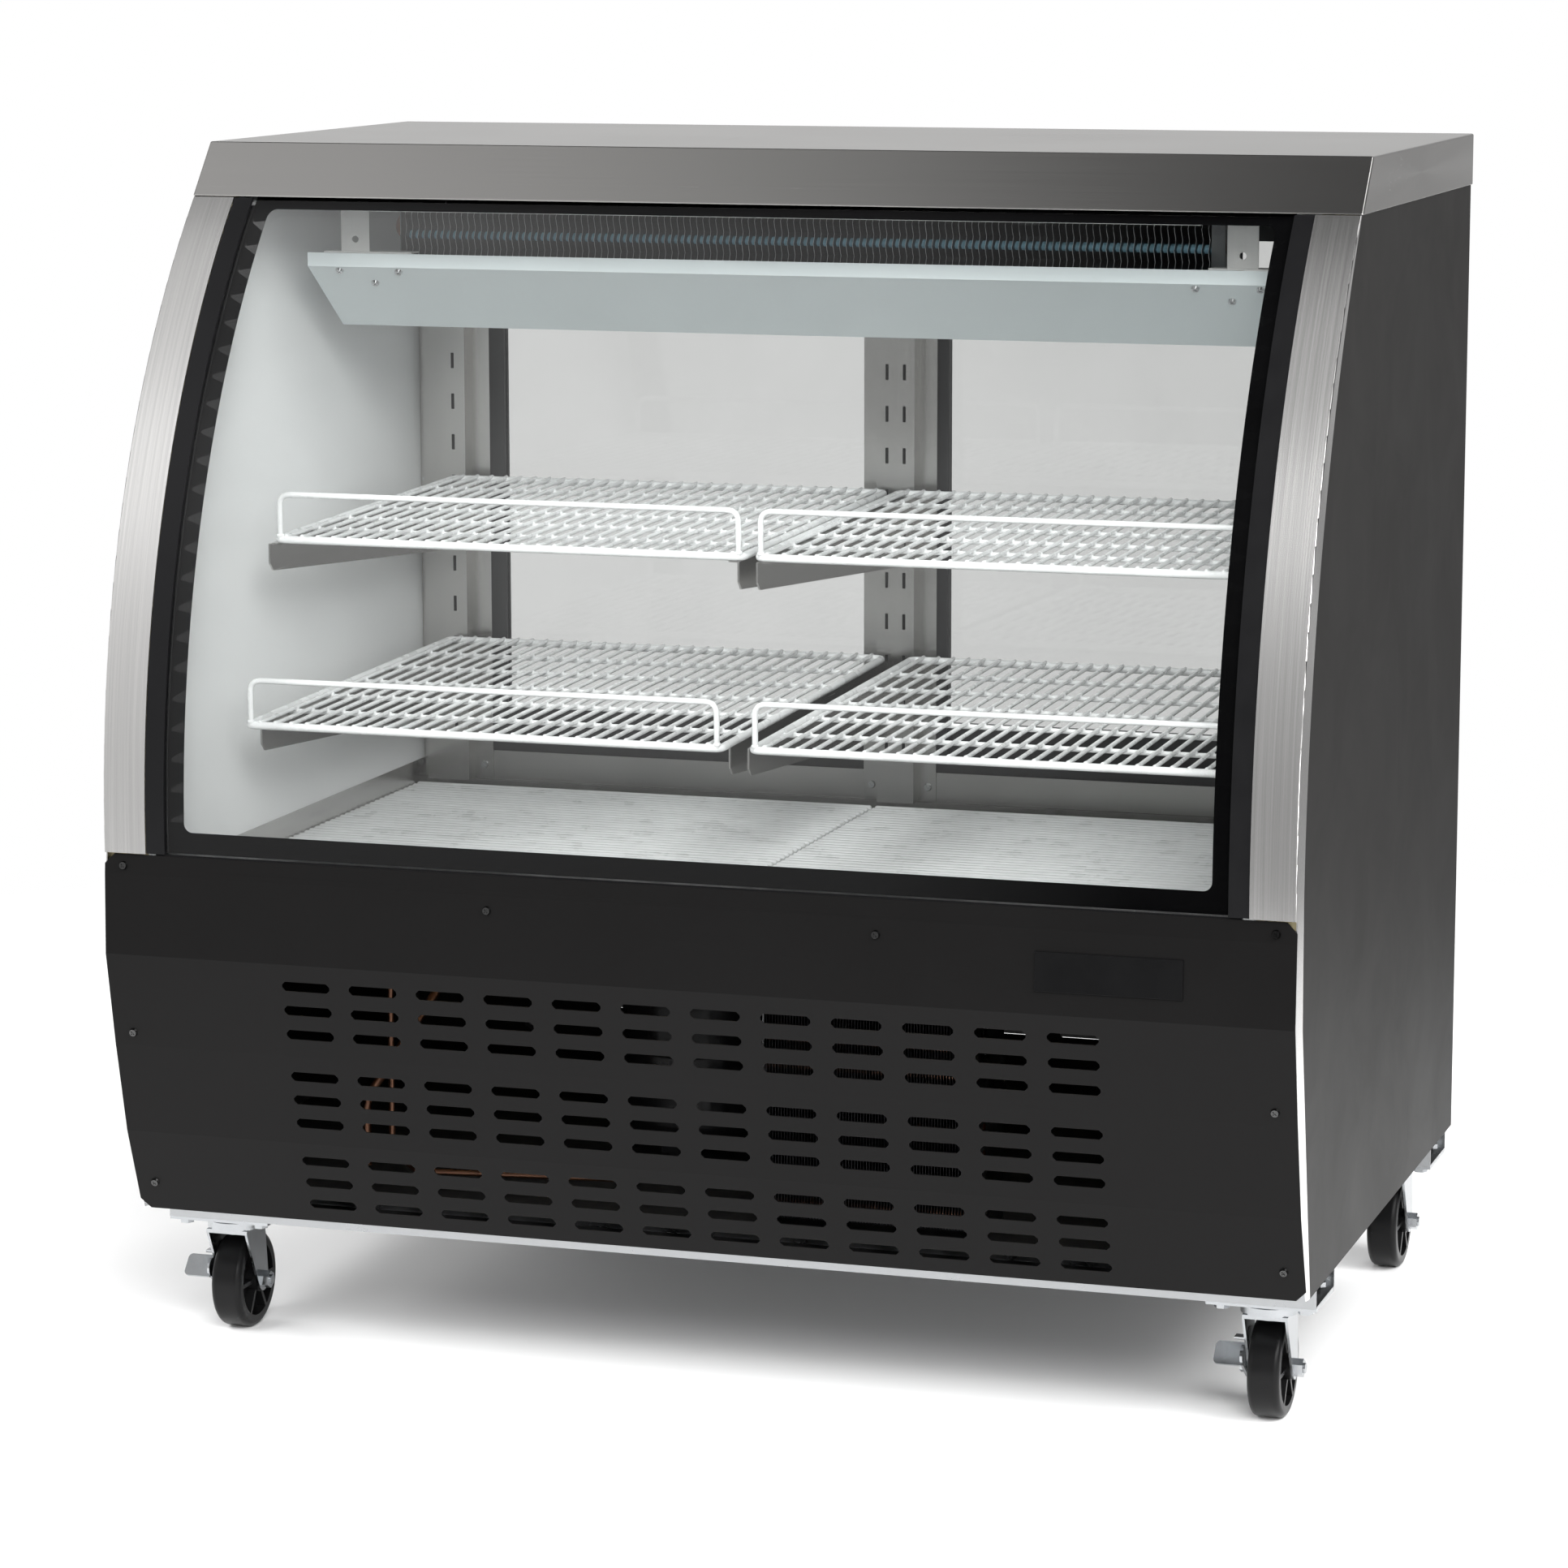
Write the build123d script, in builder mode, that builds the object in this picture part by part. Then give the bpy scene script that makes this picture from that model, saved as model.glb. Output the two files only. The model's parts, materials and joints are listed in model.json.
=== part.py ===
from build123d import *
import os
from math import cos, pi, radians, sin, sqrt, tan

# Refrigerated deli case on casters, with a curved glass front and sliding glass doors behind.
# Millimetres. X runs to the viewer's right, Y to the back, Z up. The origin is on the floor,
# under the middle of the case.

# ---------------------------------------------------------------- driving dimensions
WIDTH = 1202.0  # over the counter top
DEPTH = 828.0
HEIGHT = 1213.0
SIDE_X = 599.4  # outer face of each side panel
LINER_X = 557.0  # inner face of each side wall
BACK_Y = DEPTH / 2
FRONT_Y = -DEPTH / 2

SHEET = 1.2  # painted and galvanised sheet
STAINLESS = 1.5  # stainless and interior sheet
FOLD_R = 2.2  # outside radius of the counter's folds
HEM_R = 0.9  # rolled lower edge of the counter

# The front of the case follows one arc in the YZ plane.
ARC_Y = 477.0
ARC_Z = 546.0
TRIM_R = 890.0
GLASS_R = 886.0
GLASS_T = 6.0
LINER_R = 875.5
FOAM_R = 875.0
FLANGE_Y = 676.0  # centre of the flatter arc where trim meets side panel
FLANGE_Z = 520.0
FLANGE_R = 1057.0
TRIM_WIDTH = 44.4
TRIM_TOP = 1159.5
TRIM_BEND_R = 1.1
PANEL_TOP = 526.6
GLASS_BOTTOM = 530.0
GLASS_HALF = 546.0
WINDOW_HALF = 517.5
WINDOW_Z = (550.0, 1148.0)
WINDOW_CORNER = 9.0

APRON = 53.0  # height of the counter top's folded edge
APRON_TOP_Y = -121.0
APRON_BOTTOM_Y = -167.0

SIDE_BOTTOM = 148.0
RAIL_BOTTOM = 126.0
RAIL_TOP = 166.0
FRONT_RAIL_Y = (-284.0, -198.0)
REAR_RAIL_Y = (304.0, 390.0)
RAIL_HALF = 597.0
COMPARTMENT_TOP = 425.0  # underside of the insulated floor
PAN_FLOOR = 466.0
CEILING = 1152.0
REAR_WALL_Y = 333.5
SILL_TOP = 519.0

# Casters
WHEEL_D = 100.0
WHEEL_W = 32.0
CASTER_X = 543.0
FRONT_CASTER_Y = -241.0
REAR_CASTER_Y = 347.0
TRAIL = 18.0
PLATE = (108.0, 84.0, 3.0)
PLATE_HOLES = (82.0, 58.0)
BOLT_D = 8.0
KINGPIN_D = 12.0
AXLE_D = 10.0
RUNNING_GAP = 0.05
LEG_X = 20.0
LEG_T = 2.5
LEVER_T = 2.5
LEVER_GAP = 0.3

# Front panel: folds from top to bottom, and its rows of slots
PANEL_HALF = 600.0
PANEL_FOLDS = [
    (-409.7, PANEL_TOP), (-411.5, 506.8), (FRONT_Y, 426.0),
    (-396.1, 330.7), (-374.4, 237.0), (-342.6, 149.9),
]
PANEL_CORNER = 10.0
PANEL_LIP_HALF = 586.0
SLOT = (50.0, 10.0)
SLOT_CORNER = 3.4
SLOT_COLUMNS = 12
SLOT_ROWS = 3
SLOT_PITCH_X = 70.5
SLOT_PITCH_Z = 25.6

# Shelving
SLOT_PITCH = 45.0
TOP_SLOT_Z = 1136.0
PILASTER_FACE_Y = 313.0
PILASTER_BOTTOM = 487.0
BRACKET_X = (-510.0, -9.7, 9.7, 510.0)
BRACKET_T = 2.0
BRACKET_FLANGE = 12.0
SHELF_TILT = 1.2  # degrees, down towards the glass
UPPER_TOP = 823.0  # top of an upper bracket where it meets the pilaster
LOWER_TOP = UPPER_TOP - 4 * SLOT_PITCH
UPPER_REACH = 511.0  # brackets, from the pilaster forward
LOWER_REACH = 540.0
UPPER_SHELF = (504.0, 500.0)  # width and depth of a shelf
LOWER_SHELF = (510.0, 564.0)
SHELF_RIM = 8.0
SHELF_WIRE = 4.4
SHELF_PITCH = 17.0
SHELF_WIRES = 29
GUARD_WIRE = 6.0
GUARD_H = 45.0
RACK_Y = (-385.0, 305.0)
RACK_TOP = 485.0
RACK_WIRE = 6.5
RACK_PITCH = 14.0

# Rear doors
DOOR_OUTER = 508.0
DOOR_INNER = 49.0
DOOR_Z = (521.5, 1144.0)
DOOR_T = 14.0
LEFT_DOOR_Y = 350.0
RIGHT_DOOR_Y = 374.0
STILE = 45.0
PANE_T = 5.0

# Cooling
TRAY_HALF = 515.0
TRAY_FOLDS = [(-75.0, 1099.0), (-75.0, 1085.0), (17.0, 1018.0), (285.0, 1024.0), (285.0, 1060.0)]
HANGER_X = 464.0
COIL_X = (-464.0, 404.0)
COIL_Y = (60.0, 120.0)
COIL_Z = (1046.0, 1147.0)
EVAP_FAN_X = (-245.0, 185.0)
EVAP_FAN_Z = 1094.0
EVAP_FAN_Y = 170.0
EVAP_FAN_D = 96.0
CONDENSER_X = (50.0, 260.0)
CONDENSER_Y = (-300.0, -250.0)
CONDENSER_Z = (180.0, 400.0)
CONDENSER_FAN_D = 176.0
COMPRESSOR_XY = (-110.0, -20.0)
DECK_TOP = RAIL_TOP + SHEET

os.makedirs("parts", exist_ok=True)


# ---------------------------------------------------------------- helpers
def save(piece, name):
    """Label a finished piece and write it as one STEP file."""
    piece.part.label = name
    export_step(piece.part, f"parts/{name}.step")


def block(x, y, z, mode=Mode.ADD):
    """A box between (low, high) pairs, in the part being built."""
    centre = [sum(pair) / 2 for pair in (x, y, z)]
    with Locations(tuple(centre)):
        Box(x[1] - x[0], y[1] - y[0], z[1] - z[0], mode=mode)


def rod(start, end, diameter, mode=Mode.ADD):
    """A round rod from one point to another."""
    path = Vector(*end) - Vector(*start)
    with BuildSketch(Plane(origin=start, z_dir=path), mode=Mode.PRIVATE) as section:
        Circle(diameter / 2)
    extrude(section.sketch, amount=path.length, mode=mode)


def hexagon(start, end, across_flats, mode=Mode.ADD):
    """A hexagonal bar, such as a bolt head or a nut."""
    path = Vector(*end) - Vector(*start)
    with BuildSketch(Plane(origin=start, z_dir=path), mode=Mode.PRIVATE) as section:
        RegularPolygon(across_flats / 2, 6, major_radius=False)
    extrude(section.sketch, amount=path.length, mode=mode)


def slab(x, points, mode=Mode.ADD):
    """An outline of (y, z) points, extruded between two X stations."""
    with BuildSketch(Plane.YZ.offset(x[0]), mode=Mode.PRIVATE) as outline:
        with BuildLine():
            Polyline(*points, close=True)
        make_face()
    extrude(outline.sketch, amount=x[1] - x[0], mode=mode)


def column(z, points, mode=Mode.ADD):
    """An outline of (x, y) points, extruded between two heights."""
    with BuildSketch(Plane.XY.offset(z[0]), mode=Mode.PRIVATE) as outline:
        with BuildLine():
            Polyline(*points, close=True)
        make_face()
    extrude(outline.sketch, amount=z[1] - z[0], mode=mode)


def folded(points, thickness):
    """Closed outline of a folded sheet: its fold line, and a mitred copy to the left of it."""
    path = [Vector(*point) for point in points]
    runs = [(b - a).normalized() for a, b in zip(path, path[1:])]
    normals = [Vector(-run.Y, run.X) for run in runs]
    offsets = [normals[0]]
    for before, after in zip(normals, normals[1:]):
        mitre = (before + after).normalized()
        offsets.append(mitre * (1 / mitre.dot(before)))
    offsets.append(normals[-1])
    copy = [point + offset * thickness for point, offset in zip(path, offsets)]
    return [(p.X, p.Y) for p in path] + [(p.X, p.Y) for p in reversed(copy)]


def arc_y(z, radius):
    """Y of the front arc of a given radius at height z."""
    return ARC_Y - sqrt(radius**2 - (z - ARC_Z) ** 2)


def flange_y(z):
    """Y of the line where the front trim meets the side panel, above the knee."""
    return FLANGE_Y - sqrt(FLANGE_R**2 - (z - FLANGE_Z) ** 2)


def curved_band(x, radii, z, mode=Mode.ADD):
    """A curved slab between two radii of the front arc and two heights."""
    inner, outer = radii
    low, high = z
    middle = (low + high) / 2
    with BuildSketch(Plane.YZ.offset(x[0]), mode=Mode.PRIVATE) as band:
        with BuildLine():
            ThreePointArc(*[(arc_y(h, outer), h) for h in (low, middle, high)])
            Line((arc_y(high, outer), high), (arc_y(high, inner), high))
            ThreePointArc(*[(arc_y(h, inner), h) for h in (high, middle, low)])
            Line((arc_y(low, inner), low), (arc_y(low, outer), low))
        make_face()
    extrude(band.sketch, amount=x[1] - x[0], mode=mode)


def curved_wall(x, radius, z, back):
    """A wall whose front edge follows the front arc."""
    low, high = z
    middle = (low + high) / 2
    with BuildSketch(Plane.YZ.offset(x[0]), mode=Mode.PRIVATE) as wall:
        with BuildLine():
            ThreePointArc(*[(arc_y(h, radius), h) for h in (low, middle, high)])
            Line((arc_y(high, radius), high), (back, high))
            Line((back, high), (back, low))
            Line((back, low), (arc_y(low, radius), low))
        make_face()
    extrude(wall.sketch, amount=x[1] - x[0])


def sided(side, near, far):
    """An X range on the left (-1) or right (+1) of the case, from distances off the middle."""
    return tuple(sorted((side * near, side * far)))


# ---------------------------------------------------------------- casters
AXLE_Z = WHEEL_D / 2
PLATE_Z = (RAIL_BOTTOM - PLATE[2], RAIL_BOTTOM)
FORK_TOP = 110.0
CASTERS = {
    "front_left": (-CASTER_X, FRONT_CASTER_Y, True),
    "front_right": (CASTER_X, FRONT_CASTER_Y, True),
    "rear_left": (-CASTER_X, REAR_CASTER_Y, False),
    "rear_right": (CASTER_X, REAR_CASTER_Y, False),
}
BOLT_SPOTS = [
    (x + sx * PLATE_HOLES[0] / 2, y + sy * PLATE_HOLES[1] / 2)
    for x, y, _ in CASTERS.values() for sx in (-1, 1) for sy in (-1, 1)
]

with BuildPart() as caster_plates:
    for x, y, _ in CASTERS.values():
        block((x - PLATE[0] / 2, x + PLATE[0] / 2), (y - PLATE[1] / 2, y + PLATE[1] / 2), PLATE_Z)
        rod((x, y, 114.0), (x, y, PLATE_Z[0]), 50.0)
        rod((x, y, 105.0), (x, y, 114.0), KINGPIN_D)
        rod((x, y, 102.0), (x, y, 105.7), 20.0)
    for x, y in BOLT_SPOTS:
        rod((x, y, PLATE_Z[0]), (x, y, PLATE_Z[1]), BOLT_D + 1, mode=Mode.SUBTRACT)
save(caster_plates, "caster_plates")

with BuildPart() as caster_bolts:
    for x, y in BOLT_SPOTS:
        hexagon((x, y, PLATE_Z[0] - 5.3), (x, y, PLATE_Z[0]), 13.0)
        rod((x, y, PLATE_Z[0]), (x, y, RAIL_BOTTOM + 12.0), BOLT_D)
        hexagon((x, y, RAIL_BOTTOM + 2.0), (x, y, RAIL_BOTTOM + 8.5), 13.0)
save(caster_bolts, "caster_bolts")


def build_fork(name, x, y, braked):
    """Swivelling fork with its axle bolt and nut."""
    axle_y = y + TRAIL
    outer = LEG_X + LEG_T
    head = -outer - (LEVER_T + 2 * LEVER_GAP if braked else 0)
    with BuildPart() as fork:
        block((x - outer, x + outer), (y - 23, y + 23), (FORK_TOP - 4, FORK_TOP))
        rod((x, y, FORK_TOP), (x, y, FORK_TOP + 8), 57.0)
        for inner in (-outer, LEG_X):
            with BuildSketch(Plane.YZ.offset(x + inner)) as leg:
                with Locations((y, FORK_TOP - 2)):
                    Rectangle(46, 4)
                with Locations((axle_y, AXLE_Z)):
                    Circle(12)
                make_hull()
            extrude(amount=LEG_T)
        rod((x, y, FORK_TOP), (x, y, FORK_TOP + 8), 51.0, mode=Mode.SUBTRACT)
        rod((x, y, FORK_TOP - 5), (x, y, FORK_TOP + 1), KINGPIN_D + 2 * RUNNING_GAP, mode=Mode.SUBTRACT)
        rod((x - 30, axle_y, AXLE_Z), (x + 30, axle_y, AXLE_Z), AXLE_D + 0.1, mode=Mode.SUBTRACT)
        rod((x + head, axle_y, AXLE_Z), (x + outer + 10, axle_y, AXLE_Z), AXLE_D)
        hexagon((x + head - 6, axle_y, AXLE_Z), (x + head, axle_y, AXLE_Z), 16.0)
        hexagon((x + outer, axle_y, AXLE_Z), (x + outer + 8, axle_y, AXLE_Z), 16.0)
    save(fork, f"caster_fork_{name}")


def build_wheel(name, x, y):
    """Solid wheel with a spoked web each side and a bore for the axle bolt."""
    axle_y = y + TRAIL
    with BuildPart(Plane(origin=(x, axle_y, AXLE_Z), x_dir=(0, 1, 0), z_dir=(1, 0, 0))) as wheel:
        Cylinder(WHEEL_D / 2, WHEEL_W)
        fillet(wheel.edges().filter_by(GeomType.CIRCLE), 6)
        with Locations((0, 0, WHEEL_W / 2 - 4.5), (0, 0, 4.5 - WHEEL_W / 2)):
            Cylinder(38, 9, mode=Mode.SUBTRACT)
            with PolarLocations(22, 6):
                Box(34, 4, 9)
        Cylinder(13, 2 * LEG_X - 2)
        Cylinder(AXLE_D / 2 + RUNNING_GAP, 2 * LEG_X, mode=Mode.SUBTRACT)
    save(wheel, f"caster_wheel_{name}")


def build_brake(name, x, y):
    """Side brake lever: a plate on the axle bolt with a bent pedal and a bent release tab."""
    axle_y = y + TRAIL
    inner = x - LEG_X - LEG_T - LEVER_GAP
    with BuildPart() as lever:
        for tip, radius in (((-26, 15.5), 10), ((-8, 27), 6)):
            with BuildSketch(Plane.YZ.offset(inner - LEVER_T)) as plate:
                with Locations((axle_y, AXLE_Z)):
                    Circle(13)
                with Locations((axle_y + tip[0], AXLE_Z + tip[1])):
                    Circle(radius)
                make_hull()
            extrude(amount=LEVER_T)
        pedal = [(-17.0, 24.5), (-33.5, 6.0), (-35.4, 7.7), (-18.9, 26.2)]
        slab((x - 52, inner), [(axle_y + y, AXLE_Z + z) for y, z in pedal])
        fillet([edge for edge in lever.edges().group_by(Axis.X)[0] if edge.length < 3], 5)
        block((x - 36, inner), (axle_y - 14, axle_y - 2), (AXLE_Z + 27, AXLE_Z + 29.5))
        bore = AXLE_D + 2 * RUNNING_GAP
        rod((x - 30, axle_y, AXLE_Z), (x, axle_y, AXLE_Z), bore, mode=Mode.SUBTRACT)
    save(lever, f"brake_lever_{name}")


for corner, (spot_x, spot_y, has_brake) in CASTERS.items():
    build_fork(corner, spot_x, spot_y, has_brake)
    build_wheel(corner, spot_x, spot_y)
    if has_brake:
        build_brake(corner, spot_x, spot_y)

# ---------------------------------------------------------------- base and walls
RAIL_T = 2.0
with BuildPart() as base_frame:
    for low, high in (FRONT_RAIL_Y, REAR_RAIL_Y):
        rail = [(low, RAIL_TOP), (low, RAIL_BOTTOM), (high, RAIL_BOTTOM), (high, RAIL_TOP)]
        slab((-RAIL_HALF, RAIL_HALF), folded(rail, RAIL_T))
    for side in (-1, 1):
        tube_y = (FRONT_RAIL_Y[1], REAR_RAIL_Y[0])
        block(sided(side, 560, 595), tube_y, (RAIL_TOP - 15, RAIL_TOP))
        block(sided(side, 562, 593), tube_y, (RAIL_TOP - 13, RAIL_TOP - 2), mode=Mode.SUBTRACT)
    for x, y in BOLT_SPOTS:
        rod((x, y, RAIL_BOTTOM), (x, y, RAIL_BOTTOM + RAIL_T), BOLT_D + 1, mode=Mode.SUBTRACT)
    block((-RAIL_HALF, RAIL_HALF), (-322, 394), (RAIL_TOP, DECK_TOP))
save(base_frame, "base_frame")


def on_trim_corner(edge):
    """True for the long outer edge where a trim's face turns onto the side of the case."""
    middle = edge @ 0.5
    return abs(abs(middle.X) - SIDE_X) < 0.01 and abs(middle.Y - arc_y(middle.Z, TRIM_R)) < 0.01


def build_side(name, side):
    """One side of the case: outer panel, inner liner and the trim round the front edge."""
    skin = sided(side, SIDE_X - SHEET, SIDE_X)
    knee_z = 540.0
    low_edge = [(-378.0, 419.0), (-357.0, 312.0), (-343.0, 240.0), (-324.0, SIDE_BOTTOM)]
    seam_heights = (TRIM_TOP, (TRIM_TOP + knee_z) / 2, knee_z)

    with BuildPart() as side_panel:
        with BuildSketch(Plane.YZ.offset(skin[0])):
            with BuildLine():
                ThreePointArc(*[(flange_y(h) + 0.2, h) for h in seam_heights])
                Polyline((flange_y(knee_z) + 0.2, knee_z), *[(y + 0.2, z) for y, z in low_edge])
                Polyline(
                    (low_edge[-1][0] + 0.2, SIDE_BOTTOM), (BACK_Y - 3, SIDE_BOTTOM),
                    (BACK_Y - 3, HEIGHT - 3), (-120.0, HEIGHT - 3),
                    (flange_y(TRIM_TOP) + 0.2, TRIM_TOP),
                )
            make_face()
        extrude(amount=SHEET)
        block(sided(side, 560, SIDE_X), (BACK_Y - 3 - SHEET, BACK_Y - 3), (SIDE_BOTTOM, CEILING + 6))
    save(side_panel, f"side_panel_{name}")

    with BuildPart() as side_liner:
        liner_z = (PAN_FLOOR, CEILING)
        curved_wall(sided(side, LINER_X, LINER_X + STAINLESS), LINER_R, liner_z, REAR_WALL_Y)
    save(side_liner, f"side_liner_{name}")

    with BuildPart() as front_trim:
        curved_band(sided(side, SIDE_X - TRIM_WIDTH, SIDE_X), (TRIM_R - SHEET, TRIM_R), (528, TRIM_TOP))
        inside = [(y + 1.6, z) for y, z in PANEL_FOLDS]
        with BuildSketch(Plane.YZ.offset(skin[0])):
            with BuildLine():
                ThreePointArc(*[(flange_y(h), h) for h in seam_heights])
                Polyline((flange_y(knee_z), knee_z), *low_edge)
                Polyline(low_edge[-1], *reversed(inside), (arc_y(528, TRIM_R), 528))
                middle = (528 + TRIM_TOP) / 2
                ThreePointArc(*[(arc_y(h, TRIM_R), h) for h in (528, middle, TRIM_TOP)])
                Line((arc_y(TRIM_TOP, TRIM_R), TRIM_TOP), (flange_y(TRIM_TOP), TRIM_TOP))
            make_face()
        extrude(amount=SHEET)
        bends = front_trim.edges().filter_by(GeomType.CIRCLE).filter_by(on_trim_corner)
        fillet(bends, TRIM_BEND_R)
    save(front_trim, f"front_trim_{name}")


build_side("left", -1)
build_side("right", 1)

with BuildPart() as wall_insulation:
    foam_x = LINER_X + STAINLESS + 0.2
    for side in (-1, 1):
        foam = sided(side, foam_x, SIDE_X - SHEET - 0.2)
        curved_wall(foam, FOAM_R, (COMPARTMENT_TOP, CEILING + 1.5), BACK_Y - 6)
    block((-foam_x + 0.4, foam_x - 0.4), (-395, BACK_Y - 6), (COMPARTMENT_TOP, PAN_FLOOR - 1.8))
    block((-550, 550), (REAR_WALL_Y + 2.5, BACK_Y - 6), (PAN_FLOOR + 1, SILL_TOP - 2))
    block((-SIDE_X + 1.6, SIDE_X - 1.6), (-98, BACK_Y - 6), (CEILING + 1.8, HEIGHT - 1.8))
save(wall_insulation, "wall_insulation")


def counter_outline(inset):
    """Counter profile, inset on every side, open below."""
    base = HEIGHT - APRON
    top = HEIGHT - inset
    return [
        (BACK_Y - inset, base), (BACK_Y - inset, top),
        (APRON_TOP_Y + 1.2 * inset, top), (APRON_BOTTOM_Y + 1.32 * inset, base),
    ]


with BuildPart() as top_cover:
    slab((-WIDTH / 2, WIDTH / 2), counter_outline(0))
    hem = top_cover.edges().group_by(Axis.Z)[0]
    fillet(top_cover.edges() - hem, FOLD_R)
    slab((STAINLESS - WIDTH / 2, WIDTH / 2 - STAINLESS), counter_outline(STAINLESS), mode=Mode.SUBTRACT)
    rim = top_cover.faces().sort_by(Axis.Z)[0].outer_wire()
    fillet(rim.edges(), HEM_R)
save(top_cover, "top_cover")

with BuildPart() as ceiling_liner:
    block((-LINER_X + 0.2, LINER_X - 0.2), (-155, REAR_WALL_Y), (CEILING, CEILING + STAINLESS))
    header = [(-98.4, CEILING + 1.6), (-154, CEILING + 1.6), (-130, 1180), (-119, 1208)]
    slab((-LINER_X + 0.2, LINER_X - 0.2), folded(header[::-1], STAINLESS))
save(ceiling_liner, "ceiling_liner")

with BuildPart() as deck_pan:
    half = LINER_X - 0.4
    block((-half, half), (-397.6, REAR_WALL_Y - 1.6), (PAN_FLOOR - STAINLESS, PAN_FLOOR))
    for side in (-1, 1):
        block(sided(side, half - STAINLESS, half), (-397.6, REAR_WALL_Y - 1.6), (PAN_FLOOR, 508))
    block((-half, half), (-397.6, -397.6 + STAINLESS), (PAN_FLOOR, 524))
    block((-half, half), (REAR_WALL_Y - 3.1, REAR_WALL_Y - 1.6), (PAN_FLOOR, PILASTER_BOTTOM - 1))
save(deck_pan, "deck_pan")

with BuildPart() as rear_sill:
    back = BACK_Y - 4.5
    front = REAR_WALL_Y + 0.1
    sill = [(front, PAN_FLOOR), (front, SILL_TOP), (back, SILL_TOP), (back, COMPARTMENT_TOP)]
    slab((-LINER_X + 0.5, LINER_X - 0.5), folded(sill[::-1], STAINLESS))
save(rear_sill, "rear_sill")

# ---------------------------------------------------------------- curved glass and front panel
with BuildPart() as front_glass:
    curved_band((-GLASS_HALF, GLASS_HALF), (GLASS_R - GLASS_T, GLASS_R), (GLASS_BOTTOM, 1178))
save(front_glass, "front_glass")

with BuildPart() as glass_border:
    border_r = GLASS_R - GLASS_T
    border_half = 534.6
    curved_band((-border_half, border_half), (border_r - 0.6, border_r), (GLASS_BOTTOM, 1176))
    with BuildSketch(Plane.XZ):
        with Locations((0, sum(WINDOW_Z) / 2)):
            RectangleRounded(2 * WINDOW_HALF, WINDOW_Z[1] - WINDOW_Z[0], WINDOW_CORNER)
    extrude(amount=BACK_Y, both=True, mode=Mode.SUBTRACT)
save(glass_border, "glass_border")

with BuildPart() as glass_gaskets:
    low = GLASS_BOTTOM - 1.5
    glass_in = GLASS_R - GLASS_T
    for side in (-1, 1):
        curved_band(sided(side, 535, 554.6), (GLASS_R, GLASS_R + 3), (low, TRIM_TOP - 0.5))
        curved_band(sided(side, GLASS_HALF, 554.6), (LINER_R + 0.5, GLASS_R), (low, CEILING - 1))
        curved_band(sided(side, 535, GLASS_HALF), (LINER_R + 0.5, glass_in), (low, CEILING - 1))
    seat = (-407.8, -398.4)
    block((-GLASS_HALF, GLASS_HALF), seat, (GLASS_BOTTOM - 9, GLASS_BOTTOM - 2))
save(glass_gaskets, "glass_gaskets")


def fold_plane(index):
    """Plane on one flat of the front panel, X along the case, centred on the flat."""
    (y0, z0), (y1, z1) = PANEL_FOLDS[index], PANEL_FOLDS[index + 1]
    middle = ((y0 + y1) / 2, (z0 + z1) / 2)
    return Plane(origin=(0, *middle), x_dir=(1, 0, 0), z_dir=(0, z1 - z0, y0 - y1))


def on_flat(index, x, z):
    """Point on the outside of one flat of the front panel at a given height."""
    (y0, z0), (y1, z1) = PANEL_FOLDS[index], PANEL_FOLDS[index + 1]
    return Vector(x, y0 + (y1 - y0) * (z - z0) / (z1 - z0), z)


PANEL_SCREWS = (
    [(0, side * 580.0, 515.0) for side in (-1, 1)]
    + [(1, side * 196.0, 492.0) for side in (-1, 1)]
    + [(2, side * 579.0, 344.0) for side in (-1, 1)]
    + [(4, side * 580.0, 180.0) for side in (-1, 1)]
)

with BuildPart() as front_panel:
    slab((-PANEL_HALF, PANEL_HALF), folded(PANEL_FOLDS, SHEET))
    lip_y, lip_z = PANEL_FOLDS[-1]
    block((-PANEL_LIP_HALF, PANEL_LIP_HALF), (lip_y + 0.4, FRONT_RAIL_Y[0] - 1), (lip_z, lip_z + SHEET))
    for side in (-1, 1):
        for corner_z in (PANEL_TOP, PANEL_FOLDS[-1][1]):
            with Locations(Location((side * PANEL_HALF, -380, corner_z), (0, 45, 0))):
                Box(PANEL_CORNER * sqrt(2), 100, PANEL_CORNER * sqrt(2), mode=Mode.SUBTRACT)
    for flat in (2, 3, 4):
        with BuildSketch(fold_plane(flat)) as slots:
            with GridLocations(SLOT_PITCH_X, SLOT_PITCH_Z, SLOT_COLUMNS, SLOT_ROWS):
                Rectangle(*SLOT)
            chamfer(slots.vertices(), SLOT_CORNER)
        extrude(amount=4, both=True, mode=Mode.SUBTRACT)
    for flat, x, z in PANEL_SCREWS:
        spot = on_flat(flat, x, z)
        out = fold_plane(flat).z_dir
        rod(tuple(spot - out * 3), tuple(spot + out * 3), 4.4, mode=Mode.SUBTRACT)
save(front_panel, "front_panel")

with BuildPart() as badge:
    plate = fold_plane(1)
    shift = on_flat(1, 422.5, 467.0) - plate.origin
    with BuildSketch(Plane(origin=plate.origin + shift, x_dir=plate.x_dir, z_dir=plate.z_dir)):
        Rectangle(142, 38)
    extrude(amount=2.0)
    fillet(badge.faces().sort_by(Axis.Y)[0].edges(), 0.6)
save(badge, "badge")

# ---------------------------------------------------------------- pilasters, brackets and shelves
def slot_heights():
    """Centre heights of a pilaster's slots, from the top down."""
    count = int((TOP_SLOT_Z - PILASTER_BOTTOM - 30) // SLOT_PITCH) + 1
    return [TOP_SLOT_Z - SLOT_PITCH * step for step in range(count)]


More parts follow.
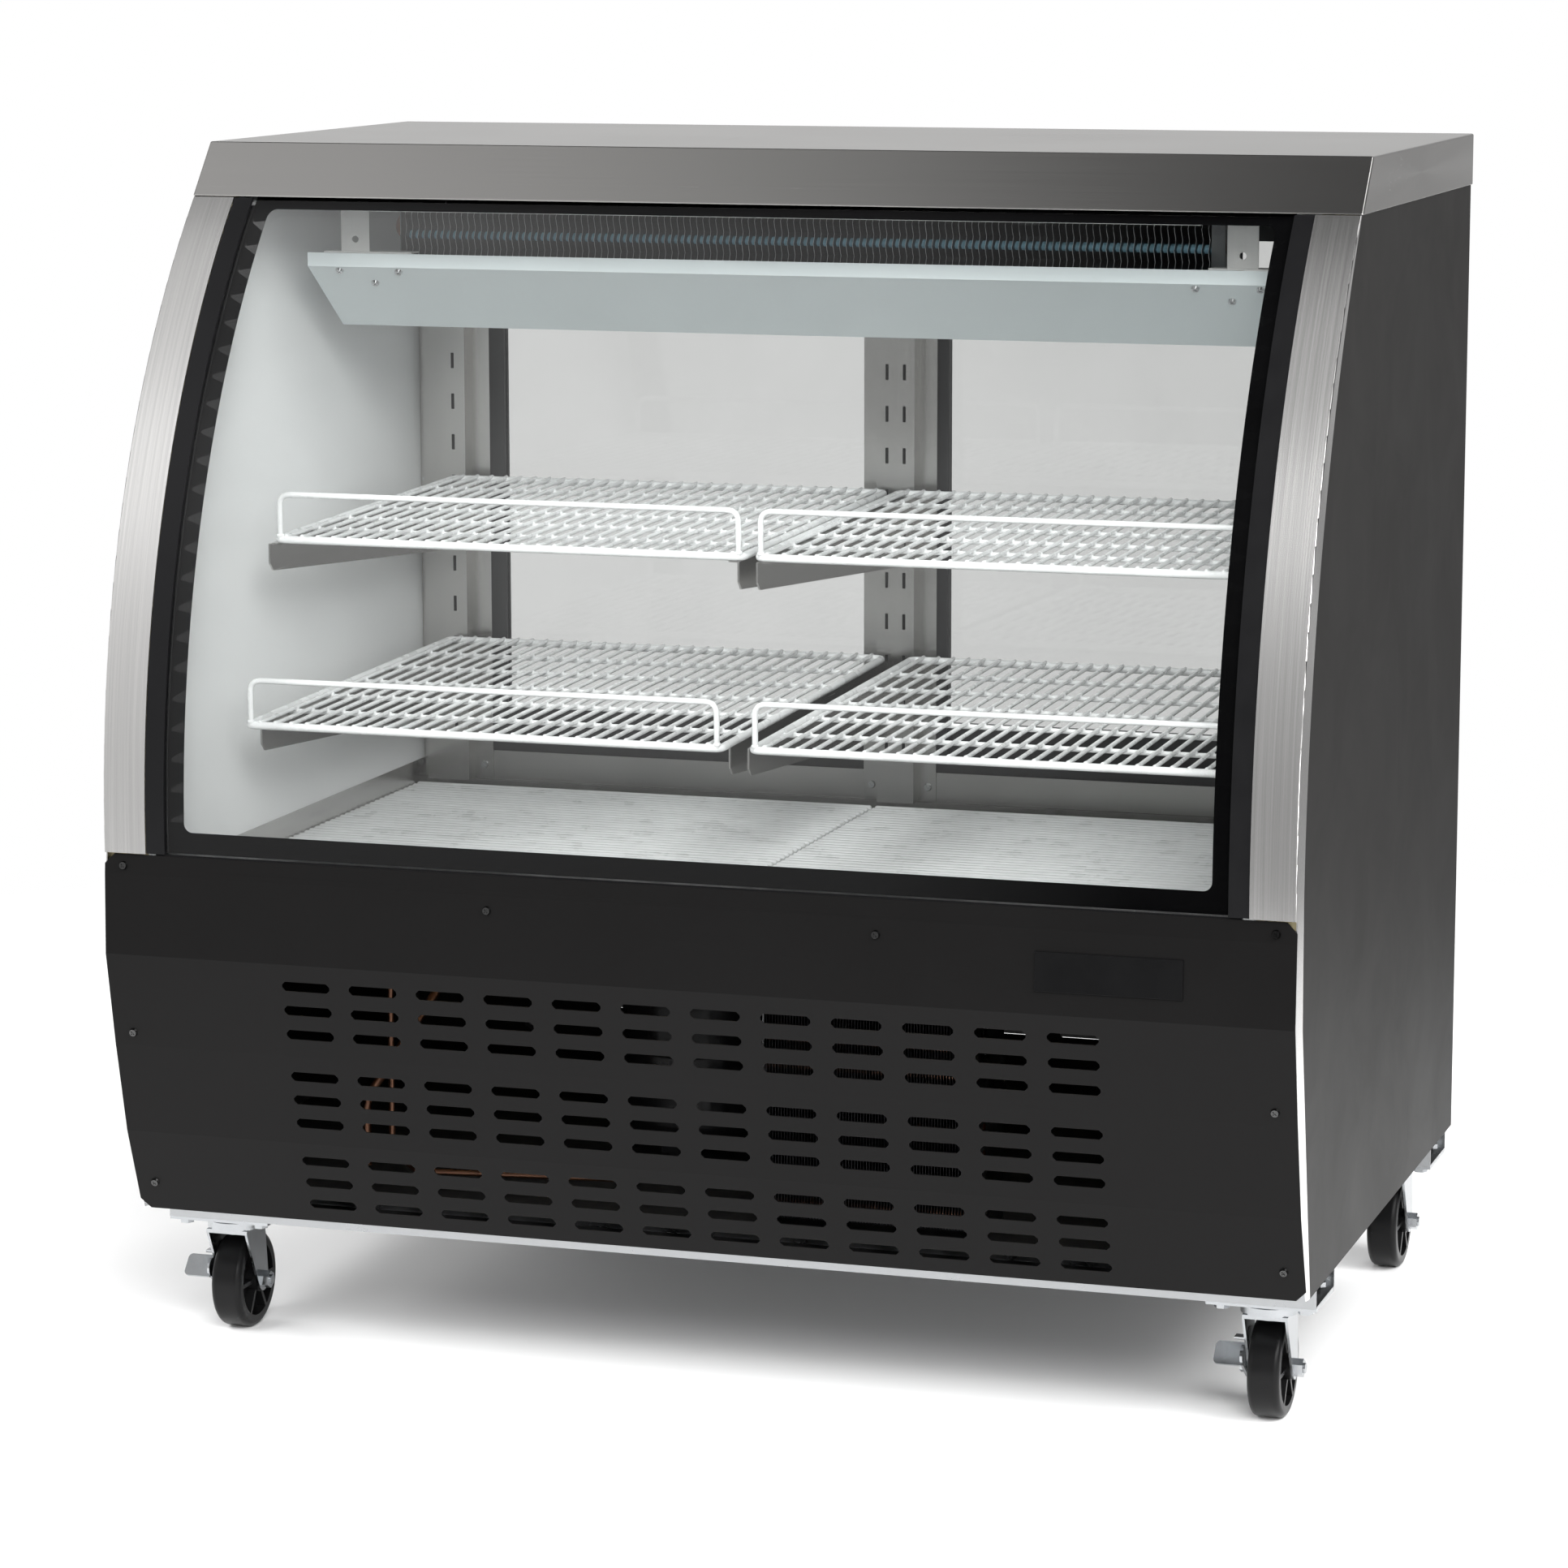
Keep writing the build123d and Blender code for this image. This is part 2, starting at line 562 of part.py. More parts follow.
def build_pilaster(name, fold_x, slot_xs, screw_xs):
    """Hat-section upright with slots for the shelf brackets."""
    outer_l, rise_l, rise_r, outer_r = fold_x
    flange = REAR_WALL_Y - STAINLESS
    face = PILASTER_FACE_Y
    hat = [
        (outer_l, flange), (rise_l, flange), (rise_l, face),
        (rise_r, face), (rise_r, flange), (outer_r, flange),
    ]
    with BuildPart() as pilaster:
        column((PILASTER_BOTTOM, CEILING - 0.5), folded(hat, STAINLESS))
        for x in slot_xs:
            for z in slot_heights():
                block((x - 1.75, x + 1.75), (face - 1, face + 3), (z - 8.5, z + 8.5), mode=Mode.SUBTRACT)
        for x in screw_xs:
            for z in SCREW_HEIGHTS:
                rod((x, flange - 1, z), (x, REAR_WALL_Y + 1, z), 4.4, mode=Mode.SUBTRACT)
    save(pilaster, f"pilaster_{name}")


SCREW_HEIGHTS = (503.0, 822.0, 1130.0)
SIDE_FOLDS = (LINER_X - 0.8, 545.0, 496.0, 474.0)
build_pilaster("left", [-x for x in SIDE_FOLDS], [-510.0], [-550.0, -484.0])
build_pilaster("centre", [-41.0, -21.0, 21.0, 41.0], [-9.7, 9.7], [-32.0, 32.0])
build_pilaster("right", list(reversed(SIDE_FOLDS)), [510.0], [484.0, 550.0])


def tilted_z(rear_top, y):
    """Height of a bracket's sloping top edge at depth y."""
    return rear_top - (PILASTER_FACE_Y - y) * tan(radians(SHELF_TILT))


with BuildPart() as shelf_brackets:
    for rear_top, reach in ((UPPER_TOP, UPPER_REACH), (LOWER_TOP, LOWER_REACH)):
        for x in BRACKET_X:
            root = PILASTER_FACE_Y
            nose = root - reach
            nose_top = tilted_z(rear_top, nose)
            outline = [
                (root, rear_top), (nose, nose_top), (nose, nose_top - 20), (nose + 8, nose_top - 28),
                (root, rear_top - 76),
            ]
            slab((x - BRACKET_T / 2, x + BRACKET_T / 2), outline)
            inward = 1 if x in (BRACKET_X[0], BRACKET_X[2]) else -1
            flange_x = tuple(sorted((x, x + inward * BRACKET_FLANGE)))
            front, back = nose + 6, root - 8
            top = [(front, tilted_z(rear_top, front)), (back, tilted_z(rear_top, back))]
            slab(flange_x, top + [(back, top[1][1] - 1.5), (front, top[0][1] - 1.5)])
            for tab_z in ((rear_top - 9.5, rear_top - 0.5), (rear_top - 54, rear_top - 40)):
                block((x - BRACKET_T / 2, x + BRACKET_T / 2), (root, root + 7), tab_z)
save(shelf_brackets, "shelf_brackets")


WIRE_Z = 7.4


def wire_shelf(width, depth):
    """A wire shelf with its upright guard wire, built flat with its back edge just before the pilasters."""
    middle = -8 - depth / 2
    with BuildPart() as shelf:
        with Locations((0, middle, SHELF_RIM / 2)):
            Box(width, depth, SHELF_RIM)
        fillet(shelf.edges().filter_by(Axis.Z), 10)
        with Locations((0, middle, SHELF_RIM / 2)):
            Box(width - 2 * SHELF_RIM, depth - 2 * SHELF_RIM, SHELF_RIM, mode=Mode.SUBTRACT)
        with Locations((0, middle, 3.5)):
            with GridLocations(1, (depth - 8) / 6, 1, 5):
                Box(width - 10, 5, 5)
        with Locations((0, middle, WIRE_Z)):
            with GridLocations(SHELF_PITCH, 1, SHELF_WIRES, 1):
                Cylinder(SHELF_WIRE / 2, depth - 4, rotation=(90, 0, 0))
        leg_x = width / 2 - 7.5
        leg_z = SHELF_RIM + 0.02  # the guard is a solid of its own, tacked on the rim
        guard_y = middle - depth / 2 + SHELF_RIM / 2
        with BuildLine() as guard_path:
            FilletPolyline(
                (-leg_x, guard_y, leg_z), (-leg_x, guard_y, SHELF_RIM + GUARD_H - 3),
                (leg_x, guard_y, SHELF_RIM + GUARD_H - 3), (leg_x, guard_y, leg_z), radius=12,
            )
        with BuildSketch(Plane(origin=guard_path.line @ 0, z_dir=guard_path.line % 0)):
            Circle(GUARD_WIRE / 2)
        sweep(path=guard_path.line)
    return shelf.part


def place_shelf(name, centre_x, rear_top, size):
    """Lay a wire shelf on the brackets' sloping edges."""
    tilt = radians(SHELF_TILT)
    flat = wire_shelf(*size)
    seat = Plane(
        origin=(centre_x, PILASTER_FACE_Y, rear_top), x_dir=(1, 0, 0), z_dir=(0, -sin(tilt), cos(tilt))
    )
    with BuildPart(seat) as shelf:
        add(flat)
    save(shelf, f"shelf_{name}")


UPPER_CENTRE = 4.0 + UPPER_SHELF[0] / 2
place_shelf("upper_left", -UPPER_CENTRE, UPPER_TOP, UPPER_SHELF)
place_shelf("upper_right", UPPER_CENTRE, UPPER_TOP, UPPER_SHELF)
# The lower shelves are deeper, and lie pushed a little apart.
place_shelf("lower_left", -6.0 - LOWER_SHELF[0] / 2, LOWER_TOP, LOWER_SHELF)
place_shelf("lower_right", 18.4 + LOWER_SHELF[0] / 2, LOWER_TOP, LOWER_SHELF)


RACK_W = 532.5
with BuildPart() as wire_rack:
    rows = int((RACK_Y[1] - RACK_Y[0] - RACK_WIRE) // RACK_PITCH) + 1
    bar_top = RACK_TOP - RACK_WIRE + 0.6
    for step in range(4):
        bar_x = 8 + step * (RACK_W - 16) / 3
        block((bar_x - 3, bar_x + 3), RACK_Y, (bar_top - 6, bar_top))
        for foot_y in (RACK_Y[0] + 20, sum(RACK_Y) / 2, RACK_Y[1] - 20):
            block((bar_x - 3, bar_x + 3), (foot_y - 3, foot_y + 3), (PAN_FLOOR, bar_top))
    rods_y = RACK_Y[1] - RACK_WIRE / 2 - (rows - 1) * RACK_PITCH / 2
    with Locations((RACK_W / 2, rods_y, RACK_TOP - RACK_WIRE / 2)):
        with GridLocations(1, RACK_PITCH, 1, rows):
            Cylinder(RACK_WIRE / 2, RACK_W, rotation=(0, 90, 0))


def place_rack(name, left_x):
    """Stand a wire rack on its feet in the deck pan."""
    with BuildPart(Plane(origin=(left_x, 0, 0))) as rack:
        add(wire_rack.part)
    save(rack, f"floor_rack_{name}")


place_rack("left", -554.5)
place_rack("right", -20.0)

# ---------------------------------------------------------------- evaporator and drip tray
TRAY_SCREWS = [(side * x, z) for side in (-1, 1) for x, z in ((482, 1081), (417, 1081), (450, 1068))]


def on_tray(x, z):
    """Point on the tray's sloping front at a given height, and the way that face looks."""
    (y0, z0), (y1, z1) = TRAY_FOLDS[1], TRAY_FOLDS[2]
    seat_y = y0 + (y1 - y0) * (z - z0) / (z1 - z0)
    return Vector(x, seat_y, z), Vector(0, z1 - z0, y0 - y1).normalized()


with BuildPart() as drip_tray:
    slab((-TRAY_HALF, TRAY_HALF), folded(TRAY_FOLDS, STAINLESS))
    for x, z in TRAY_SCREWS:
        spot, out = on_tray(x, z)
        rod(tuple(spot - out * 3), tuple(spot + out * 3), 4.4, mode=Mode.SUBTRACT)
    end = TRAY_FOLDS[:4] + [(285.0, 1060.0), (40.0, 1085.0)]
    for side in (-1, 1):
        slab(sided(side, TRAY_HALF - STAINLESS, TRAY_HALF), end)
save(drip_tray, "drip_tray")

with BuildPart() as tray_hangers:
    for side in (-1, 1):
        x = side * HANGER_X
        strap_z = (1099.2, CEILING)
        block((x - 15.5, x + 15.5), (-70, -68.5), strap_z)
        block((x - 33.5, x + 63), (-73.4, -52), (1099.2, 1100.7))
        block((x - 15.5, x + 15.5), (-70, -50), (CEILING - STAINLESS, CEILING))
        rod((x, -72, 1113), (x, -66, 1113), 7.0, mode=Mode.SUBTRACT)
        block((x - 15.5, x + 15.5), (286.6, 288.1), (1030, CEILING))
        block((x - 15.5, x + 15.5), (270, 288.1), (CEILING - STAINLESS, CEILING))
save(tray_hangers, "tray_hangers")

with BuildPart() as evaporator_coil:
    block(COIL_X, COIL_Y, COIL_Z)
    for edge in COIL_X:
        plate_x = (edge - 1.2, edge) if edge < 0 else (edge, edge + 14.0)
        block(plate_x, (COIL_Y[0] - 5, COIL_Y[1] + 5), (COIL_Z[0], CEILING - 0.4))
    for edge, way in ((COIL_X[0] - 1.2, -1), (COIL_X[1] + 14.0, 1)):
        for row_y in (75.0, 105.0):
            for bend_z in (1072.0, 1122.0):
                with BuildSketch(Plane(origin=(edge, row_y, bend_z), x_dir=(0, 0, 1), z_dir=(-way, 0, 0))):
                    with Locations((12.5, 0)):
                        Circle(4.75)
                revolve(axis=Axis((edge, row_y, bend_z), (0, way, 0)), revolution_arc=180)
save(evaporator_coil, "evaporator_coil")

with BuildPart() as evaporator_fan_shroud:
    plate_y = (EVAP_FAN_Y, EVAP_FAN_Y + STAINLESS)
    block((-470, 410), plate_y, (1030, CEILING - 0.4))
    for x in EVAP_FAN_X:
        rod((x, EVAP_FAN_Y - 5, EVAP_FAN_Z), (x, EVAP_FAN_Y + 5, EVAP_FAN_Z), 108.0, mode=Mode.SUBTRACT)
    for x in EVAP_FAN_X:
        rod((x, EVAP_FAN_Y + 22, EVAP_FAN_Z), (x, EVAP_FAN_Y + 62, EVAP_FAN_Z), 62.0)
        rod((x, EVAP_FAN_Y - 14, EVAP_FAN_Z), (x, EVAP_FAN_Y + 22, EVAP_FAN_Z), 6.0)
        for way in (-1, 1):
            arm_x = tuple(sorted((x + way * 28, x + way * 62)))
            leg_x = tuple(sorted((x + way * 60, x + way * 62)))
            block(arm_x, (EVAP_FAN_Y + 30, EVAP_FAN_Y + 32), (EVAP_FAN_Z - 8, EVAP_FAN_Z + 8))
            block(leg_x, (EVAP_FAN_Y, EVAP_FAN_Y + 32), (EVAP_FAN_Z - 8, EVAP_FAN_Z + 8))
save(evaporator_fan_shroud, "evaporator_fan_shroud")


def build_fan(name, centre, diameter, depth, shaft):
    """Axial fan blade: a hub bored for its shaft, and blades pitched across the air stream."""
    frame = Plane(origin=centre, x_dir=(1, 0, 0), z_dir=(0, -1, 0))
    hub = diameter * 0.16
    blades = 5
    with BuildPart(frame) as fan:
        Cylinder(hub, depth)
        for blade in range(blades):
            turn = 360 * blade / blades
            reach = diameter / 2 - hub + 2
            out = hub - 2 + reach / 2
            spot = Location((out * cos(radians(turn)), out * sin(radians(turn)), 0), (0, 0, turn))
            with Locations(spot * Location((0, 0, 0), (28, 0, 0))):
                Box(reach, diameter * 0.28, 1.6)
        Cylinder(diameter / 2, depth * 2, mode=Mode.INTERSECT)
        Cylinder(shaft / 2 + RUNNING_GAP, depth * 3, mode=Mode.SUBTRACT)
    save(fan, name)


for fan_name, fan_x in zip(("left", "right"), EVAP_FAN_X):
    fan_spot = (fan_x, EVAP_FAN_Y + 1, EVAP_FAN_Z)
    build_fan(f"evaporator_fan_{fan_name}", fan_spot, EVAP_FAN_D, 20.0, 6.0)

with BuildPart() as lamp:
    block((-440, 440), (-150, -131), (CEILING - 5.6, CEILING - 0.1))
    fillet(lamp.edges().filter_by(Axis.X).group_by(Axis.Z)[0], 2.0)
save(lamp, "lamp")

# ---------------------------------------------------------------- rear doors
with BuildPart() as door_surround:
    track_half = DOOR_OUTER + 0.8
    groove = 1.2
    for base, rib_top, way in ((SILL_TOP, SILL_TOP + 12, 1), (CEILING, CEILING - 19, -1)):
        block((-track_half, track_half), (345, 393), tuple(sorted((base, base + way * 2))))
        edges = (345, LEFT_DOOR_Y - groove), (LEFT_DOOR_Y + DOOR_T + groove, RIGHT_DOOR_Y - groove)
        for rib_y in edges + ((RIGHT_DOOR_Y + DOOR_T + groove, 393),):
            block((-track_half, track_half), rib_y, tuple(sorted((base, rib_top))))
    for side in (-1, 1):
        near, far = track_half + 0.2, LINER_X - 0.5
        jamb = [(side * far, 336), (side * near, 336), (side * near, 408), (side * far, 408)]
        column((SILL_TOP + 0.2, CEILING - 0.2), folded(jamb if side < 0 else jamb[::-1], STAINLESS))
save(door_surround, "door_surround")


def build_door(name, x, y, pull_x):
    """Sliding rear door: a frame with a recessed pull, and its pane in a groove."""
    opening_x = (x[0] + STILE, x[1] - STILE)
    opening_z = (DOOR_Z[0] + STILE, DOOR_Z[1] - STILE)
    seat = 6.0
    pane_y = (y + (DOOR_T - PANE_T) / 2, y + (DOOR_T + PANE_T) / 2)
    with BuildPart() as door_frame:
        block(x, (y, y + DOOR_T), DOOR_Z)
        fillet(door_frame.edges().filter_by(Axis.Z), 1.5)
        block(opening_x, (y, y + DOOR_T), opening_z, mode=Mode.SUBTRACT)
        groove_x = (opening_x[0] - seat, opening_x[1] + seat)
        groove_z = (opening_z[0] - seat, opening_z[1] + seat)
        block(groove_x, (pane_y[0] - 0.2, pane_y[1] + 0.2), groove_z, mode=Mode.SUBTRACT)
        pull_y = (y + DOOR_T - 4, y + DOOR_T)
        block((pull_x - 11, pull_x + 11), pull_y, (790, 910), mode=Mode.SUBTRACT)
    save(door_frame, f"door_frame_{name}")
    with BuildPart() as pane:
        inner_x = (groove_x[0] + 0.5, groove_x[1] - 0.5)
        block(inner_x, pane_y, (groove_z[0] + 0.5, groove_z[1] - 0.5))
    save(pane, f"door_glass_{name}")


build_door("left", (-DOOR_OUTER, DOOR_INNER), LEFT_DOOR_Y, STILE / 2 - DOOR_OUTER)
build_door("right", (-DOOR_INNER, DOOR_OUTER), RIGHT_DOOR_Y, DOOR_OUTER - STILE / 2)

# ---------------------------------------------------------------- machine compartment
REAR_PANEL_Y = (396.0, 397.2)
CONTROL_X = 380.0
INLET_X = -450.0
LOUVRE_X = -60.0
LOUVRE_Z = 300.0
LOUVRE_PITCH = (86.0, 22.0)
LOUVRES = (7, 8)
with BuildPart() as rear_panel:
    block((-590, 590), REAR_PANEL_Y, (RAIL_TOP - 16, COMPARTMENT_TOP - 0.5))
    with BuildSketch(Plane.XZ.offset(-REAR_PANEL_Y[0])):
        with Locations((LOUVRE_X, LOUVRE_Z)):
            with GridLocations(*LOUVRE_PITCH, *LOUVRES):
                SlotOverall(64, 7)
    extrude(amount=4, both=True, mode=Mode.SUBTRACT)
    hood_half = LOUVRE_PITCH[0] * (LOUVRES[0] - 1) / 2 + 36
    for row in range(LOUVRES[1]):
        z = LOUVRE_Z + (row - (LOUVRES[1] - 1) / 2) * LOUVRE_PITCH[1]
        skin = REAR_PANEL_Y[1]
        hood = [(skin, z + 6), (skin, z + 4.6), (skin + 8.3, z - 5), (skin + 9.3, z - 4.2)]
        slab((LOUVRE_X - hood_half, LOUVRE_X + hood_half), hood)
    block((CONTROL_X - 36, CONTROL_X + 36), (390, 400), (366, 394), mode=Mode.SUBTRACT)
    rod((INLET_X, 390, 200), (INLET_X, 400, 200), 16.5, mode=Mode.SUBTRACT)
save(rear_panel, "rear_panel")

with BuildPart() as controller:
    block((CONTROL_X - 35.5, CONTROL_X + 35.5), (350, REAR_PANEL_Y[1]), (366.5, 393.5))
    block((CONTROL_X - 39, CONTROL_X + 39), (REAR_PANEL_Y[1], REAR_PANEL_Y[1] + 5), (362, 398))
    fillet(controller.faces().sort_by(Axis.Y)[-1].edges(), 2.0)
    block((CONTROL_X - 20, CONTROL_X + 14), (401.4, 403), (374, 390), mode=Mode.SUBTRACT)
    for key in range(4):
        with Locations(Location((CONTROL_X + 26, 402.2, 369.5 + 7 * key), (90, 0, 0))):
            Cylinder(2.2, 1.6)
save(controller, "controller")

with BuildPart() as power_gland:
    rod((INLET_X, 384, 200), (INLET_X, REAR_PANEL_Y[1], 200), 16.0)
    hexagon((INLET_X, REAR_PANEL_Y[1], 200), (INLET_X, REAR_PANEL_Y[1] + 5, 200), 24.0)
    rod((INLET_X, REAR_PANEL_Y[1] + 5, 200), (INLET_X, REAR_PANEL_Y[1] + 14, 200), 19.0)
    hexagon((INLET_X, REAR_PANEL_Y[0] - 5, 200), (INLET_X, REAR_PANEL_Y[0], 200), 24.0)
    rod((INLET_X, 380, 200), (INLET_X, 415, 200), 9.0, mode=Mode.SUBTRACT)
save(power_gland, "power_gland")

with BuildPart() as compressor:
    cx, cy = COMPRESSOR_XY
    can_bottom, can_top, can_r = 196.0, 376.0, 82.0
    rod((cx, cy, can_bottom), (cx, cy, can_top), 2 * can_r)
    fillet(compressor.edges().filter_by(GeomType.CIRCLE).group_by(Axis.Z)[-1], 42)
    fillet(compressor.edges().filter_by(GeomType.CIRCLE).group_by(Axis.Z)[0], 16)
    rod((cx, cy, 278), (cx, cy, 285), 2 * can_r + 8)
    block((cx - 95, cx + 95), (cy - 12, cy + 12), (188, 197))
    block((cx - 12, cx + 12), (cy - 95, cy + 95), (188, 197))
    block((cx + 76, cx + 104), (cy - 26, cy + 26), (230, 270))
    for foot in range(4):
        angle = foot * pi / 2
        foot_x, foot_y = cx + 82 * cos(angle), cy + 82 * sin(angle)
        rod((foot_x, foot_y, DECK_TOP), (foot_x, foot_y, 188), 22.0)
save(compressor, "compressor")

with BuildPart() as condenser_coil:
    block(CONDENSER_X, CONDENSER_Y, CONDENSER_Z)
    for edge in CONDENSER_X:
        plate_x = (edge - 1.5, edge) if edge == CONDENSER_X[0] else (edge, edge + 1.5)
        block(plate_x, (CONDENSER_Y[0] - 4, CONDENSER_Y[1]), (DECK_TOP, CONDENSER_Z[1] + 4))
save(condenser_coil, "condenser_coil")

FAN_X = sum(CONDENSER_X) / 2
FAN_Z = 290.0
SHROUD_Y = (CONDENSER_Y[1] + 0.3, -190.0)
with BuildPart() as condenser_shroud:
    shroud_x = (CONDENSER_X[0] - 1.5, CONDENSER_X[1] + 1.5)
    block(shroud_x, SHROUD_Y, (DECK_TOP, CONDENSER_Z[1] + 4))
    inner_x = (shroud_x[0] + SHEET, shroud_x[1] - SHEET)
    inner_y = (SHROUD_Y[0], SHROUD_Y[1] - SHEET)
    inner_z = (DECK_TOP + SHEET, CONDENSER_Z[1] + 4 - SHEET)
    block(inner_x, inner_y, inner_z, mode=Mode.SUBTRACT)
    rod((FAN_X, -200, FAN_Z), (FAN_X, -180, FAN_Z), CONDENSER_FAN_D + 10, mode=Mode.SUBTRACT)
    rod((FAN_X, -172, FAN_Z), (FAN_X, -110, FAN_Z), 76.0)
    rod((FAN_X, -226, FAN_Z), (FAN_X, -172, FAN_Z), 8.0)
    for way in (-1, 1):
        block(tuple(sorted((FAN_X + way * 35, FAN_X + way * 101))), (-160, -157), (FAN_Z - 10, FAN_Z + 10))
        block(tuple(sorted((FAN_X + way * 98, FAN_X + way * 101))), (-190, -157), (FAN_Z - 10, FAN_Z + 10))
save(condenser_shroud, "condenser_shroud")
build_fan("condenser_fan", (FAN_X, -212.0, FAN_Z), CONDENSER_FAN_D, 26.0, 8.0)

with BuildPart() as refrigerant_pipes:
    cx, cy = COMPRESSOR_XY
    coil_side = CONDENSER_X[0] - 1.6
    header_x = coil_side - 22
    discharge = [
        (cx + 30, cy - 45, 350), (cx + 30, cy - 45, 408), (header_x, -275, 408),
        (header_x, -275, 340), (coil_side, -275, 340),
    ]
    suction = [
        (cx - 50, cy, 350), (cx - 50, cy, 396), (-330, -120, 396),
        (-400, -230, 250), (-400, -230, 182),
    ]
    liquid = [
        (coil_side, -270, 200), (-60, -270, 200), (-330, -270, 190),
        (-372, -230, 200), (-372, -230, 424),
    ]
    for route, size, bend in ((discharge, 8.0, 14), (suction, 9.5, 22), (liquid, 6.35, 18)):
        with BuildLine() as path:
            FilletPolyline(*route, radius=bend)
        with BuildSketch(Plane(origin=path.line @ 0, z_dir=path.line % 0)):
            Circle(size / 2)
        sweep(path=path.line)
    add(compressor.part, mode=Mode.SUBTRACT)  # each pipe ends on the shell it is brazed to
save(refrigerant_pipes, "refrigerant_pipes")

# ---------------------------------------------------------------- screws
def screw(head_at, out, length):
    """Pan-head screw: a low domed head with a cross recess, and its shank."""
    with BuildSketch(Plane(origin=head_at, z_dir=out), mode=Mode.PRIVATE) as head:
        Circle(4.5)
    extrude(head.sketch, amount=2.6, taper=20)
    tip = Vector(*head_at) - out * length
    rod(tuple(tip), tuple(Vector(*head_at)), 3.8)
    slot_frame = Plane(origin=Vector(*head_at) + out * 2.6, x_dir=(1, 0, 0), z_dir=out)
    for turn in (45, 135):
        with Locations(slot_frame.location * Location((0, 0, 0), (0, 0, turn))):
            Box(4.6, 0.9, 2.0, mode=Mode.SUBTRACT)


with BuildPart() as screws:
    for flat, x, z in PANEL_SCREWS:
        screw(tuple(on_flat(flat, x, z)), fold_plane(flat).z_dir, 8.0)
    for screw_x in (-550.0, -484.0, -32.0, 32.0, 484.0, 550.0):
        for z in SCREW_HEIGHTS[:2]:
            screw((screw_x, REAR_WALL_Y - STAINLESS, z), Vector(0, -1, 0), 1.5)
    for x, z in TRAY_SCREWS:
        spot, out = on_tray(x, z)
        screw(tuple(spot), out, 6.0)
save(screws, "screws")
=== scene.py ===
import json
from math import cos, pi, radians, sin

import bmesh
import bpy
from mathutils import Matrix, Vector


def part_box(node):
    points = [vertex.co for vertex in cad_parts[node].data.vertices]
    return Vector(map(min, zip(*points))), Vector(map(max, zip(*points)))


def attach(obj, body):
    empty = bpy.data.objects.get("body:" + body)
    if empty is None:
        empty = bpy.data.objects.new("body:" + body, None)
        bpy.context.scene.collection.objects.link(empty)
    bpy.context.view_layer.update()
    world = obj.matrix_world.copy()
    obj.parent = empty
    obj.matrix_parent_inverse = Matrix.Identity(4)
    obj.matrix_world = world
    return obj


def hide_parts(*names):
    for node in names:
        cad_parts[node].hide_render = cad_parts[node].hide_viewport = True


# Looks of a refrigerated deli case. Metres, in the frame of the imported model.
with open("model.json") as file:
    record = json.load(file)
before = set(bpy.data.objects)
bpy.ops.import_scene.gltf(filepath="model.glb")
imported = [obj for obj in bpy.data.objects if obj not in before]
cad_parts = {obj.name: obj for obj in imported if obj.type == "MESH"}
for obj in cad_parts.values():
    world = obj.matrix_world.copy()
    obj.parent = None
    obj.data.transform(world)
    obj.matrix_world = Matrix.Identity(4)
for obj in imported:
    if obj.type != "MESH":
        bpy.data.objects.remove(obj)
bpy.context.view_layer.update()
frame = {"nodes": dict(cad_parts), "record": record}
record = frame["record"]


